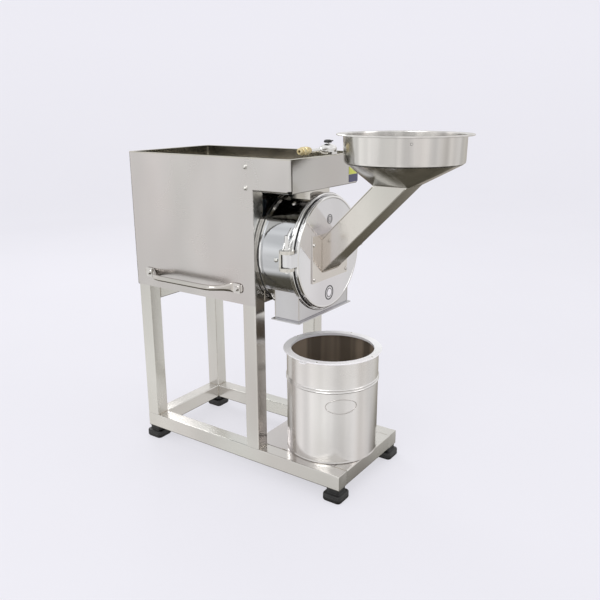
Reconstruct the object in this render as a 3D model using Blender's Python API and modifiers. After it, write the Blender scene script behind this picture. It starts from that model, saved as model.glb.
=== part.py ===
"""Hammer mill on a four-legged tube stand: grinding chamber with a hinged door, chute and hopper,
top tray with a feed throat, motor under the cover, and a drum that catches the meal.
Metres, +Z up. The door and chute face -Y. The assembly empty carries the whole mill."""

import math

import bmesh
import bpy
from mathutils import Matrix, Vector

# Driving sizes
GAP = 0.0003
TUBE = 0.040
TUBE_WALL = 0.0015
WIDTH = 0.306
LENGTH = 0.660
LEG_FRONT_Y = 0.248
FOOT_HEIGHT = 0.034
FOOT_SIDE = 0.052
PANEL_BOTTOM = 0.469
REAR_RAIL_DROP = 0.046
SHEET = 0.0015

TRAY_TOP = 0.832
TRAY_DEPTH = 0.058
TRAY_FRONT_Y = 0.140
TRAY_LIP = 0.004
APRON_HEIGHT = 0.080
APRON_LIP = 0.014

MOTOR_PLATE = 0.004
SHAFT_HEIGHT = 0.080
SHAFT_R = 0.012
MOTOR_R = 0.072
MOTOR_WALL = 0.010
MOTOR_LENGTH = 0.190
MOTOR_SET_BACK = 0.017
SHIELD_LENGTH = 0.022
FAN_SPACE = 0.066

SHELL_R = 0.142
SHELL_WALL = 0.003
SHELL_FLANGE = 0.005
DOOR_FACE_Y = 0.128
DOOR_THICK = 0.008
SEAL_THICK = 0.0025
BACK_PLATE = 0.006

PIN_R = 0.006
PIN_MARGIN = 0.019
TIP_GAP = 0.005
HAMMER_WIDE = 0.026
HAMMER_THICK = 0.026
HAMMERS = 4
HUB_R = 0.022
DISC_THICK = 0.005
SCREEN_INSET = 0.014
SCREEN_THICK = 0.0012

CHUTE_WIDE = 0.080
CHUTE_TALL = 0.086
CHUTE_BOTTOM = 0.550
CHUTE_WALL = 0.0015
INLET_FLANGE = 0.003
HOPPER_BOTTOM = 0.7725
HOPPER_Y = -0.0685
HOPPER_R = 0.1365
HOPPER_RIM = 0.017
PAN_HEIGHT = 0.0635
CONE_HEIGHT = 0.052

THROAT_WIDE = 0.084
THROAT_DEEP = 0.056
THROAT_Y = 0.187
GATE_THICK = 0.002

SPOUT_WIDE = 0.229
SPOUT_DEEP = 0.072
SPOUT_Y = 0.179
SPOUT_BOTTOM = 0.434
SPOUT_FLANGE = 0.009

HINGE_OUT = 0.0165
HINGE_Y = 0.146
HINGE_RISE = 0.007
HINGE_PIN_R = 0.005
EAR_TALL = 0.032
LUG_R = 0.018
LUG_THICK = 0.008
CLAMP_Y = 0.160
BOLT_R = 0.005
BOLT_LENGTH = 0.061
NUT_R = 0.0115
NUT_LENGTH = 0.015
NUT_STAND_OFF = 0.0365

DRUM_X = -0.008
DRUM_Y = 0.111
DRUM_R = 0.119
DRUM_HEIGHT = 0.271
DRUM_WALL = 0.0015
DRUM_RING_R = 0.1275
DRUM_MOUTH_R = 0.1075

HANDLE_SPAN = 0.284
HANDLE_Y = 0.456
HANDLE_Z = 0.509
HANDLE_REACH = 0.040
HANDLE_TUBE_R = 0.0065

VALVE_Y = 0.156
PIPE_R = 0.0045
KNOB_R = 0.010

# Sizes that follow
HALF = WIDTH / 2
BASE_TOP = FOOT_HEIGHT + TUBE
SHELF_TOP = PANEL_BOTTOM + TUBE
AXIS_Z = SHELF_TOP + MOTOR_PLATE + SHAFT_HEIGHT
TRAY_FLOOR = TRAY_TOP - TRAY_DEPTH
COVER_X = HALF + GAP
BACK_Y = LENGTH + GAP
HINGE_X = SHELL_R + HINGE_OUT
HINGE_Z = AXIS_Z + HINGE_RISE
SHELL_FRONT_Y = DOOR_FACE_Y + DOOR_THICK + SEAL_THICK + 2 * GAP
BACK_PLATE_Y = LEG_FRONT_Y - GAP - BACK_PLATE
SHELL_BACK_Y = BACK_PLATE_Y - SEAL_THICK - 2 * GAP
HAMMER_Y = 0.195
DOOR_R = SHELL_R - 0.001
SCREEN_R = SHELL_R - SCREEN_INSET
PIN_CIRCLE = (SCREEN_R + HUB_R) / 2
HAMMER_REACH = (SCREEN_R - HUB_R) / 2 - TIP_GAP
ROTOR_R = PIN_CIRCLE + PIN_MARGIN
MOTOR_FRONT_Y = LEG_FRONT_Y + TUBE + MOTOR_SET_BACK
PAN_BOTTOM = HOPPER_BOTTOM + CONE_HEIGHT
RIM_TOP = PAN_BOTTOM + PAN_HEIGHT
FRONT_REACH = HOPPER_R + HOPPER_RIM - HOPPER_Y
BACK_REACH = LENGTH + (FOOT_SIDE - TUBE) / 2
LEFT_REACH = COVER_X + SHEET + GAP + HANDLE_REACH + HANDLE_TUBE_R
RIGHT_REACH = HINGE_X + BOLT_LENGTH
ROUND = 48
SMALL_ROUND = 20

STEEL = ((0.70, 0.69, 0.67), 1.0, 0.22)
SATIN = ((0.66, 0.65, 0.63), 1.0, 0.32)
POLISHED = ((0.76, 0.76, 0.77), 1.0, 0.10)
RUBBER = ((0.02, 0.02, 0.02), 0.0, 0.75)
MOTOR_PAINT = ((0.16, 0.20, 0.24), 0.2, 0.45)
TOOL_STEEL = ((0.36, 0.35, 0.34), 1.0, 0.40)
FITTING = ((0.72, 0.62, 0.38), 0.9, 0.35)
BLACK_PLASTIC = ((0.03, 0.03, 0.03), 0.0, 0.40)


def collection(name, hidden=False):
    made = bpy.data.collections.new(name)
    made.hide_render = hidden
    bpy.context.scene.collection.children.link(made)
    return made


for old in list(bpy.data.objects):
    bpy.data.objects.remove(old, do_unlink=True)
MILL = collection("hammer_mill")
CUTTERS = collection("cutters", hidden=True)
ASSEMBLY = bpy.data.objects.new("assembly", None)
MILL.objects.link(ASSEMBLY)
ASSEMBLY.location = ((LEFT_REACH - RIGHT_REACH) / 2, (FRONT_REACH - BACK_REACH) / 2, 0)


def pivot(name, place):
    """An empty on a joint's axis, which carries the pieces that move about it."""
    made = bpy.data.objects.new(name, None)
    made.location = place
    made.parent = ASSEMBLY
    MILL.objects.link(made)
    return made


def carry(child, parent):
    """Hangs child on parent with its place in the mill unchanged."""
    offset = Vector((0, 0, 0))
    above = parent
    while above is not ASSEMBLY:
        offset += above.location
        above = above.parent
    child.location -= offset
    child.parent = parent
    return child


def painted(obj, finish):
    colour, metallic, roughness = finish
    material = bpy.data.materials.new(obj.name)
    material.use_nodes = True
    shader = material.node_tree.nodes["Principled BSDF"]
    shader.inputs["Base Color"].default_value = (*colour, 1)
    shader.inputs["Metallic"].default_value = metallic
    shader.inputs["Roughness"].default_value = roughness
    obj.data.materials.clear()
    obj.data.materials.append(material)


def finished(obj, finish, parent=None, smooth=False):
    """Puts a shape in the mill as a named part."""
    for owner in list(obj.users_collection):
        owner.objects.unlink(obj)
    MILL.objects.link(obj)
    painted(obj, finish)
    if smooth:
        obj.data.shade_smooth()
        obj.data.set_sharp_from_angle(angle=math.radians(35))
    obj.parent = ASSEMBLY
    if parent:
        carry(obj, parent)
    return obj


def object_of(name, mesh_maker):
    mesh = bpy.data.meshes.new(name)
    shape = bmesh.new()
    mesh_maker(shape)
    shape.to_mesh(mesh)
    shape.free()
    made = bpy.data.objects.new(name, mesh)
    CUTTERS.objects.link(made)
    return made


def block(name, low, high):
    """A box between two corners, with its origin at its centre."""
    low, high = Vector(low), Vector(high)

    def fill(shape):
        bmesh.ops.create_cube(shape, size=1)
        bmesh.ops.scale(shape, vec=high - low, verts=shape.verts)

    made = object_of(name, fill)
    made.location = (low + high) / 2
    return made


def rod(name, radius, start, end, sides=SMALL_ROUND):
    """A cylinder between two points."""
    start, end = Vector(start), Vector(end)
    along = end - start

    def fill(shape):
        bmesh.ops.create_cone(
            shape, cap_ends=True, segments=sides, radius1=radius, radius2=radius, depth=along.length
        )
        turn = Vector((0, 0, 1)).rotation_difference(along).to_matrix()
        bmesh.ops.rotate(shape, matrix=turn, verts=shape.verts)

    made = object_of(name, fill)
    made.location = (start + end) / 2
    return made


def turned(name, profile, place, along_y=False, sides=ROUND):
    """A profile of (radius, height) turned about its axis. It runs down the outer side and,
    where it is a ring or a vessel, back up the inner side. Along Y, a height is measured towards +Y."""
    closed = profile[0][0] > 0

    def fill(shape):
        points = [shape.verts.new((radius, 0, height)) for radius, height in profile]
        pairs = list(zip(points, points[1:]))
        if closed:
            pairs.append((points[-1], points[0]))
        for pair in pairs:
            if max(point.co.x for point in pair) > 0:
                shape.edges.new(pair)

    made = object_of(name, fill)
    screw = made.modifiers.new("Screw", "SCREW")
    screw.steps = sides
    screw.render_steps = sides
    screw.use_merge_vertices = True
    screw.merge_threshold = 0.00001
    made.location = place
    if along_y:
        made.rotation_euler = (-math.pi / 2, 0, 0)
    return made


def ring(outer, inner, low, high):
    return [(outer, high), (outer, low), (inner, low), (inner, high)]


def outline(name, loops, thickness, place, turn=(0, 0, 0)):
    """A flat plate from closed loops of 2D points; a loop inside another is a hole."""
    curve = bpy.data.curves.new(name, "CURVE")
    curve.dimensions = "2D"
    curve.fill_mode = "BOTH"
    curve.extrude = thickness / 2
    for loop in loops:
        spline = curve.splines.new("POLY")
        spline.points.add(len(loop) - 1)
        for point, (x, y) in zip(spline.points, loop):
            point.co = (x, y, 0, 1)
        spline.use_cyclic_u = True
    made = bpy.data.objects.new(name, curve)
    CUTTERS.objects.link(made)
    made.location = place
    made.rotation_euler = turn
    return as_mesh(made)


def as_mesh(source):
    """The mesh of a curve, with its caps welded on, under the same name."""
    bpy.context.view_layer.update()
    graph = bpy.context.evaluated_depsgraph_get()
    mesh = bpy.data.meshes.new_from_object(source.evaluated_get(graph))
    name = source.name
    place = source.matrix_world.copy()
    bpy.data.objects.remove(source, do_unlink=True)
    shape = bmesh.new()
    shape.from_mesh(mesh)
    bmesh.ops.remove_doubles(shape, verts=shape.verts, dist=0.000005)
    shape.to_mesh(mesh)
    shape.free()
    made = bpy.data.objects.new(name, mesh)
    CUTTERS.objects.link(made)
    made.matrix_world = place
    return made


def combine(obj, operation, *others):
    for other in others:
        other.hide_render = True
        other.display_type = "WIRE"
        if other.name not in CUTTERS.objects:
            CUTTERS.objects.link(other)
        if other.parent is None:
            other.parent = ASSEMBLY
        step = obj.modifiers.new(operation.title(), "BOOLEAN")
        step.operation = operation
        step.solver = "EXACT"
        step.object = other
    return obj


def cut(obj, *cutters):
    return combine(obj, "DIFFERENCE", *cutters)


def join(obj, *others):
    return combine(obj, "UNION", *others)


def bevelled(obj, width, segments=1):
    step = obj.modifiers.new("Bevel", "BEVEL")
    step.width = width
    step.segments = segments
    step.limit_method = "ANGLE"
    return obj


def arc(centre, radius, start, end, steps):
    """Points from start to end degrees about a centre, both ends included."""
    return [
        (
            centre[0] + radius * math.cos(math.radians(start + (end - start) * i / steps)),
            centre[1] + radius * math.sin(math.radians(start + (end - start) * i / steps)),
        )
        for i in range(steps + 1)
    ]


def shell_envelope(name):
    """The outside of the grinding chamber with its clearance, for what seats on it."""
    wide = SHELL_R + GAP
    flange = SHELL_R + SHELL_FLANGE + GAP
    front = SHELL_FRONT_Y - GAP
    back = SHELL_BACK_Y + GAP
    step = SHELL_FLANGE + GAP
    profile = [(0, back), (flange, back), (flange, back - step), (wide, back - step)]
    profile += [(wide, front + step), (flange, front + step), (flange, front), (0, front)]
    return turned(name, profile, (0, 0, AXIS_Z), along_y=True)


def square_tube(name, low, high, axis, plugged=False):
    """A hollow square tube along one axis, open at its ends or plugged flush at both."""
    outer = block(name, low, high)
    past = -TUBE_WALL if plugged else TUBE
    inner_low = [v - past if i == axis else v + TUBE_WALL for i, v in enumerate(low)]
    inner_high = [v + past if i == axis else v - TUBE_WALL for i, v in enumerate(high)]
    cut(outer, block(name + "_bore", inner_low, inner_high))
    return finished(outer, SATIN)


def vent(tube, side, y):
    """The weld vent in a side rail's inner wall, behind the end of the cross rail there."""
    x = side * (HALF - TUBE)
    z = FOOT_HEIGHT + TUBE / 2
    half = TUBE / 2 - TUBE_WALL * 4
    hole = rod("weld_vent", half / 2, (x - TUBE_WALL * 2, y, z), (x + TUBE_WALL * 2, y, z), 12)
    cut(tube, hole)


def stand():
    rails = FOOT_HEIGHT
    inner = HALF - TUBE - GAP
    for side, name in ((-1, "left"), (1, "right")):
        xs = sorted((side * HALF, side * (HALF - TUBE)))
        low, high = (xs[0], 0, rails), (xs[1], LENGTH, BASE_TOP)
        side_rail = square_tube(f"base_side_rail_{name}", low, high, 1, plugged=True)
        for y in (TUBE / 2, LENGTH - TUBE / 2):
            vent(side_rail, side, y)
        top = TRAY_FLOOR - SHEET - GAP
        for y, end in ((LEG_FRONT_Y, "front"), (LENGTH - TUBE, "rear")):
            square_tube(
                f"leg_{end}_{name}", (xs[0], y, BASE_TOP + GAP), (xs[1], y + TUBE, top), 2
            )
        low = (xs[0], LEG_FRONT_Y + TUBE + GAP, PANEL_BOTTOM)
        high = (xs[1], LENGTH - TUBE - GAP, SHELF_TOP)
        square_tube(f"shelf_rail_{name}", low, high, 1)
    square_tube("base_front_rail", (-inner, 0, rails), (inner, TUBE, BASE_TOP), 0)
    square_tube("base_rear_rail", (-inner, LENGTH - TUBE, rails), (inner, LENGTH, BASE_TOP), 0)
    high = (inner, LEG_FRONT_Y + TUBE, SHELF_TOP)
    square_tube("shelf_front_rail", (-inner, LEG_FRONT_Y, PANEL_BOTTOM), high, 0)
    low = PANEL_BOTTOM - REAR_RAIL_DROP
    square_tube("shelf_rear_rail", (-inner, LENGTH - TUBE, low), (inner, LENGTH, low + TUBE), 0)
    plate_low = (-inner, TUBE + GAP, BASE_TOP - 2 * SHEET)
    plate = block("platform_plate", plate_low, (inner, LEG_FRONT_Y + TUBE, BASE_TOP))
    finished(plate, STEEL)


def feet():
    """Rubber pads with a narrower neck, one under each corner of the base."""
    neck = TUBE - 0.006
    pad_height = FOOT_HEIGHT * 0.62
    inset = TUBE / 2
    for side, name in ((-1, "left"), (1, "right")):
        for y, end in ((inset, "front"), (LENGTH - inset, "rear")):
            x = side * (HALF - inset)
            half = FOOT_SIDE / 2
            pad = block(f"foot_{end}_{name}", (x - half, y - half, 0), (x + half, y + half, pad_height))
            bevelled(pad, 0.007, 2)
            top = FOOT_HEIGHT - GAP
            stem_low = (x - neck / 2, y - neck / 2, pad_height / 2)
            stem = block(f"foot_stem_{end}_{name}", stem_low, (x + neck / 2, y + neck / 2, top))
            join(pad, stem)
            finished(pad, RUBBER)


def side_panel(side, name):
    """One sheet, taller over the frame and cut back under the tray's overhang."""
    top = TRAY_TOP - SHEET - GAP
    notch = TRAY_TOP - APRON_HEIGHT
    corners = [(BACK_Y, PANEL_BOTTOM), (LEG_FRONT_Y - 0.0015, PANEL_BOTTOM)]
    corners += [(LEG_FRONT_Y - 0.0015, notch), (TRAY_FRONT_Y, notch), (TRAY_FRONT_Y, top), (BACK_Y, top)]
    x = side * (COVER_X + SHEET / 2)
    turn = (math.pi / 2, 0, math.pi / 2)
    finished(outline(f"side_panel_{name}", [corners], SHEET, (x, 0, 0), turn), STEEL)


def cover():
    for side, name in ((-1, "left"), (1, "right")):
        side_panel(side, name)
    reach = COVER_X + SHEET
    top = TRAY_TOP - SHEET - GAP
    rear_low = (-reach, BACK_Y + GAP, PANEL_BOTTOM)
    finished(block("rear_panel", rear_low, (reach, BACK_Y + GAP + SHEET, top)), STEEL)
    face = TRAY_FRONT_Y - GAP
    bottom = TRAY_TOP - APRON_HEIGHT
    apron = block("front_apron", (-reach, face - SHEET, bottom), (reach, face, top))
    lip_high = (HALF - GAP, face + APRON_LIP, bottom + SHEET)
    join(apron, block("apron_lip", (-HALF + GAP, face - SHEET / 2, bottom), lip_high))
    finished(apron, STEEL)


def tray():
    """An open pan with its edge folded out over the cover, and a hole over the throat."""

    def fill(shape):
        bmesh.ops.create_cube(shape, size=1)
        bmesh.ops.scale(shape, vec=(WIDTH, LENGTH - TRAY_FRONT_Y, TRAY_DEPTH), verts=shape.verts)
        top = max(shape.faces, key=lambda face: face.calc_center_median().z)
        edges = list(top.edges)
        bmesh.ops.delete(shape, geom=[top], context="FACES_ONLY")
        made = bmesh.ops.extrude_edge_only(shape, edges=edges)["geom"]
        for vert in made:
            if isinstance(vert, bmesh.types.BMVert):
                vert.co.x += math.copysign(TRAY_LIP, vert.co.x)
                vert.co.y += math.copysign(TRAY_LIP, vert.co.y)

    pan = object_of("top_tray", fill)
    middle_y = (TRAY_FRONT_Y + LENGTH) / 2
    pan.location = (0, middle_y, TRAY_TOP - SHEET - TRAY_DEPTH / 2)
    thick = pan.modifiers.new("Solidify", "SOLIDIFY")
    thick.thickness = SHEET
    thick.offset = -1
    hole_low = (-THROAT_WIDE / 2, THROAT_Y - THROAT_DEEP / 2, TRAY_FLOOR - TUBE)
    hole_high = (THROAT_WIDE / 2, THROAT_Y + THROAT_DEEP / 2, TRAY_FLOOR + TUBE / 2)
    cut(pan, block("tray_hole", hole_low, hole_high))
    finished(pan, STEEL)


def panel_handle(side, name):
    """A bent tube with flattened ends, on the outside of a side panel."""
    wall = side * (COVER_X + SHEET + GAP)
    half = HANDLE_SPAN / 2
    bend = HANDLE_REACH * 1.15
    curve = bpy.data.curves.new(f"panel_handle_{name}", "CURVE")
    curve.dimensions = "3D"
    curve.bevel_depth = HANDLE_TUBE_R
    curve.bevel_resolution = 3
    curve.use_fill_caps = True
    out = side * HANDLE_REACH
    route = [(wall + side * HANDLE_TUBE_R, -half), (wall + out * 0.55, -half + bend * 0.45)]
    route += [(wall + out * 0.92, -half + bend * 0.85), (wall + out, -half + bend * 1.35)]
    route += [(x, -y) for x, y in reversed(route)]
    spline = curve.splines.new("POLY")
    spline.points.add(len(route) - 1)
    for point, (x, y) in zip(spline.points, route):
        point.co = (x, y, 0, 1)
    bar = bpy.data.objects.new(curve.name, curve)
    CUTTERS.objects.link(bar)
    bar.location = (0, HANDLE_Y, HANDLE_Z)
    bar = as_mesh(bar)
    for end in (-1, 1):
        centre = HANDLE_Y + end * (half + 0.010)
        xs = sorted((wall, wall + side * 0.003))
        low = (xs[0], centre - 0.020, HANDLE_Z - 0.0135)
        high = (xs[1], centre + 0.020, HANDLE_Z + 0.0135)
        join(bar, block(f"handle_foot_{name}_{end}", low, high))
    beyond = sorted((wall, wall - side * TUBE))
    low = (beyond[0], HANDLE_Y - HANDLE_SPAN, HANDLE_Z - TUBE)
    cut(bar, block(f"handle_trim_{name}", low, (beyond[1], HANDLE_Y + HANDLE_SPAN, HANDLE_Z + TUBE)))
    finished(bar, POLISHED, smooth=True)


def motor():
    """Foot-mounted motor: finned body, end shields, fan and its cover, terminal box."""
    reach = HALF - 0.004
    plate_low = (-reach, MOTOR_FRONT_Y - 0.015, SHELF_TOP + GAP)
    plate_high = (reach, MOTOR_FRONT_Y + MOTOR_LENGTH + 0.015, SHELF_TOP + MOTOR_PLATE)
    finished(block("motor_base_plate", plate_low, plate_high), STEEL)

    body = turned(
        "motor_body",
        ring(MOTOR_R, MOTOR_R - MOTOR_WALL, 0, MOTOR_LENGTH),
        (0, MOTOR_FRONT_Y, AXIS_Z),
        along_y=True,
    )
    foot_z = SHELF_TOP + MOTOR_PLATE + GAP
    for side in (-1, 1):
        xs = sorted((side * 0.030, side * 0.070))
        for y in (MOTOR_FRONT_Y + 0.020, MOTOR_FRONT_Y + MOTOR_LENGTH - 0.055):
            low = (xs[0], y, foot_z)
            join(body, block("motor_foot", low, (xs[1], y + 0.035, foot_z + 0.026)))
    finished(body, MOTOR_PAINT, smooth=True)

    bore = SHAFT_R + 2 * GAP
    shield = [(MOTOR_R - 0.004, SHIELD_LENGTH), (MOTOR_R - 0.004, SHIELD_LENGTH * 0.55)]
    shield += [(MOTOR_R * 0.45, 0), (bore, 0), (bore, SHIELD_LENGTH)]
    front_y = MOTOR_FRONT_Y - GAP - SHIELD_LENGTH
    finished(turned("motor_front_shield", shield, (0, front_y, AXIS_Z), True), MOTOR_PAINT, smooth=True)
    rear_y = MOTOR_FRONT_Y + MOTOR_LENGTH + GAP
    rear = [(r, SHIELD_LENGTH - z) for r, z in reversed(shield)]
    finished(turned("motor_rear_shield", rear, (0, rear_y, AXIS_Z), True), MOTOR_PAINT, smooth=True)

    cover_y = rear_y + SHIELD_LENGTH + GAP
    skin = 0.0015
    cap = [(MOTOR_R, FAN_SPACE), (MOTOR_R, 0), (MOTOR_R - skin, 0), (MOTOR_R - skin, FAN_SPACE - skin)]
    cap += [(0.022, FAN_SPACE - skin), (0.022, FAN_SPACE)]
    finished(turned("fan_cover", cap, (0, cover_y, AXIS_Z), True), MOTOR_PAINT, smooth=True)

    box_z = AXIS_Z + MOTOR_R - 0.006
    middle = MOTOR_FRONT_Y + MOTOR_LENGTH / 2
    box = block("terminal_box", (-0.040, middle - 0.045, box_z), (0.040, middle + 0.045, box_z + 0.046))
    saddle = rod("terminal_saddle", MOTOR_R + GAP, (0, 0, AXIS_Z), (0, LENGTH, AXIS_Z), ROUND)
    gland_z = box_z + 0.026
    gland = rod("gland", 0.011, (0.035, middle, gland_z), (0.062, middle, gland_z))
    wire_way = rod("gland_bore", 0.005, (0.046, middle, gland_z), (0.090, middle, gland_z))
    join(box, gland)
    cut(box, saddle, wire_way)
    finished(box, MOTOR_PAINT)
    return cover_y


def rotor(fan_y):
    """Shaft with the motor's core and fan at the back, and the hammer carrier in the chamber."""
    axis = pivot("rotor_axis", (0, HAMMER_Y, AXIS_Z))
    core_r = MOTOR_R - MOTOR_WALL - 0.014
    core = (MOTOR_FRONT_Y + 0.035, MOTOR_FRONT_Y + MOTOR_LENGTH - 0.035)
    front = HAMMER_Y - HAMMER_THICK / 2 - DISC_THICK - 0.014
    tail = fan_y + FAN_SPACE - 0.012
    profile = [(0, tail), (SHAFT_R, tail), (SHAFT_R, core[1]), (core_r, core[1])]
    profile += [(core_r, core[0]), (SHAFT_R, core[0]), (SHAFT_R, front), (0, front)]
    shaft = turned("motor_shaft", profile, (0, 0, AXIS_Z), True, 32)
    finished(shaft, TOOL_STEEL, axis, smooth=True)

    bore = SHAFT_R + GAP
    fan = turned("cooling_fan", ring(0.020, bore, 0, 0.030), (0, fan_y + 0.018, AXIS_Z), True, 24)
    blades = 6
    for i in range(blades):
        turn = 2 * math.pi * i / blades
        blade = block("fan_blade", (-0.0015, -0.015, 0.017), (0.0015, 0.015, 0.058))
        around = Matrix.Rotation(turn, 4, "Y")
        blade.data.transform(around @ Matrix.Translation(blade.location))
        blade.location = (0, fan_y + 0.033, AXIS_Z)
        join(fan, blade)
    finished(fan, BLACK_PLASTIC, axis)

    half = HAMMER_THICK / 2 + 0.002
    back = HAMMER_Y + half
    boss = ring(HUB_R, bore, back - 2 * half + GAP, back + 0.020)
    carrier = turned("rotor_carrier", boss, (0, 0, AXIS_Z), True, 32)
    back_disc = ring(ROTOR_R, HUB_R - 0.004, back, back + DISC_THICK)
    join(carrier, turned("carrier_disc", back_disc, (0, 0, AXIS_Z), True))
    front_low = HAMMER_Y - half - DISC_THICK
    front_disc = turned(
        "rotor_front_disc", ring(ROTOR_R, bore, front_low, front_low + DISC_THICK), (0, 0, AXIS_Z), True
    )
    for i in range(HAMMERS):
        x, z = pin_place(i)
        stud = rod("hammer_stud", PIN_R, (x, front_low - 0.003, z), (x, back + DISC_THICK / 2, z), 16)
        join(carrier, stud)
        hole = rod("stud_hole", PIN_R + GAP, (x, front_low - TUBE, z), (x, back, z), 16)
        cut(front_disc, hole)
    finished(carrier, TOOL_STEEL, axis)
    finished(front_disc, TOOL_STEEL, axis)
    return axis


def pin_place(i):
    turn = 2 * math.pi * i / HAMMERS
    return PIN_CIRCLE * math.sin(turn), AXIS_Z + PIN_CIRCLE * math.cos(turn)


def hammers(rotor_axis):
    """Block hammers, each free on its stud and stored hanging."""
    half = HAMMER_WIDE / 2
    head = HAMMER_WIDE * 0.42
    for i in range(HAMMERS):
        x, z = pin_place(i)
        pin = pivot(f"hammer_axis_{i + 1}", (x, HAMMER_Y, z))
        carry(pin, rotor_axis)
        tip = math.sqrt(HAMMER_REACH**2 - half**2)
        sides = [(-half, -tip), (half, -tip)] + arc((0, 0), head, 0, 180, 8)
        bore = arc((0, 0), PIN_R + 2 * GAP, 0, 337.5, 15)
        turn = (math.pi / 2, 0, 0)
        hammer = outline(f"hammer_{i + 1}", [sides, bore], HAMMER_THICK, (x, HAMMER_Y, z), turn)
        finished(hammer, TOOL_STEEL, pin)


def chamber():
    flange = SHELL_R + SHELL_FLANGE
    inner = SHELL_R - SHELL_WALL
    front, back = SHELL_FRONT_Y, SHELL_BACK_Y
    profile = [(flange, back), (flange, back - SHELL_FLANGE), (SHELL_R, back - SHELL_FLANGE)]
    profile += [(SHELL_R, front + SHELL_FLANGE), (flange, front + SHELL_FLANGE), (flange, front)]
    profile += [(inner, front), (inner, back)]
    shell = turned("chamber_shell", profile, (0, 0, AXIS_Z), True)
    wall = 0.002
    mouth = (SPOUT_WIDE / 2 - 2 * wall, SPOUT_DEEP / 2 - 2 * wall)
    edge = math.sqrt(SHELL_R**2 - mouth[0] ** 2) - 0.010
    low = (-mouth[0], SPOUT_Y - mouth[1], AXIS_Z - SHELL_R - TUBE)
    cut(shell, block("outlet_hole", low, (mouth[0], SPOUT_Y + mouth[1], AXIS_Z - edge)))
    low = (-THROAT_WIDE / 2, THROAT_Y - THROAT_DEEP / 2, AXIS_Z + SHELL_R / 2)
    high = (THROAT_WIDE / 2, THROAT_Y + THROAT_DEEP / 2, AXIS_Z + SHELL_R + TUBE)
    cut(shell, block("throat_hole", low, high))
    finished(shell, POLISHED, smooth=True)

    plate = ring(flange, SHAFT_R + 0.004, BACK_PLATE_Y, BACK_PLATE_Y + BACK_PLATE)
    finished(turned("chamber_back_plate", plate, (0, 0, AXIS_Z), True), STEEL, smooth=True)
    low = BACK_PLATE_Y - GAP - SEAL_THICK
    seal = ring(flange + 0.001, inner, low, low + SEAL_THICK)
    finished(turned("chamber_gasket", seal, (0, 0, AXIS_Z), True), RUBBER, smooth=True)

    mesh = ring(SCREEN_R + SCREEN_THICK, SCREEN_R, front + 0.010, back - GAP)
    screen = turned("grinding_screen", mesh, (0, 0, AXIS_Z), True)
    reach = THROAT_WIDE / 2 + 0.010
    low = (-reach, 0, AXIS_Z + SCREEN_R / 2)
    cut(screen, block("screen_gap", low, (reach, LEG_FRONT_Y, AXIS_Z + SHELL_R)))
    finished(screen, TOOL_STEEL, smooth=True)


def spout():
    """The outlet under the chamber, with a turned-out rim for a sack."""
    wall = 0.002
    half_x, half_y = SPOUT_WIDE / 2, SPOUT_DEEP / 2
    low = (-half_x, SPOUT_Y - half_y, SPOUT_BOTTOM)
    duct = block("outlet_spout", low, (half_x, SPOUT_Y + half_y, AXIS_Z - 0.060))
    rim_x, rim_y = half_x + SPOUT_FLANGE, half_y + SPOUT_FLANGE * 0.7
    low = (-rim_x, SPOUT_Y - rim_y, SPOUT_BOTTOM - 0.001)
    join(duct, block("spout_rim", low, (rim_x, SPOUT_Y + rim_y, SPOUT_BOTTOM + 0.002)))
    low = (-half_x + wall, SPOUT_Y - half_y + wall, SPOUT_BOTTOM - TUBE)
    high = (half_x - wall, SPOUT_Y + half_y - wall, AXIS_Z)
    cut(duct, block("spout_bore", low, high), shell_envelope("spout_seat"))
    finished(duct, STEEL)


def throat():
    """The duct from the tray's hole down to the chamber, and the gate that slides over it."""
    wall = 0.002
    half_x, half_y = THROAT_WIDE / 2, THROAT_DEEP / 2
    under = TRAY_FLOOR - SHEET
    slot = GATE_THICK + 4 * GAP
    top = under - slot
    low = (-half_x - wall, THROAT_Y - half_y - wall, AXIS_Z + SHELL_R - 0.022)
    duct = block("feed_throat", low, (half_x + wall, THROAT_Y + half_y + wall, top - 0.001))
    lip = 0.010
    low = (-half_x - lip, THROAT_Y - half_y - lip, top - 0.003)
    join(duct, block("throat_rim", low, (half_x + lip, THROAT_Y + half_y + lip, top)))
    low = (-half_x, THROAT_Y - half_y, AXIS_Z)
    cut(duct, block("throat_bore", low, (half_x, THROAT_Y + half_y, TRAY_TOP)))
    cut(duct, shell_envelope("throat_seat"))
    finished(duct, STEEL)

    level = top + 2 * GAP
    left = half_x + 2 * GAP
    right = left + THROAT_WIDE + 2 * lip
    low = (left, THROAT_Y - half_y - 0.004, level)
    gate = block("feed_gate", low, (right, THROAT_Y + half_y + 0.004, level + GATE_THICK))
    low = (right - 0.0025, THROAT_Y - 0.015, level - 0.024)
    join(gate, block("gate_tab", low, (right, THROAT_Y + 0.015, level + GATE_THICK / 2)))
    finished(gate, STEEL)


def ear(name, side):
    """The ear plate that the door carries at one side."""
    out = HINGE_X + 0.0085
    xs = sorted((side * out, side * DOOR_R * 0.85))
    low = (xs[0], DOOR_FACE_Y, HINGE_Z - EAR_TALL / 2)
    return block(name, low, (xs[1], DOOR_FACE_Y + DOOR_THICK, HINGE_Z + EAR_TALL / 2))


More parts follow.
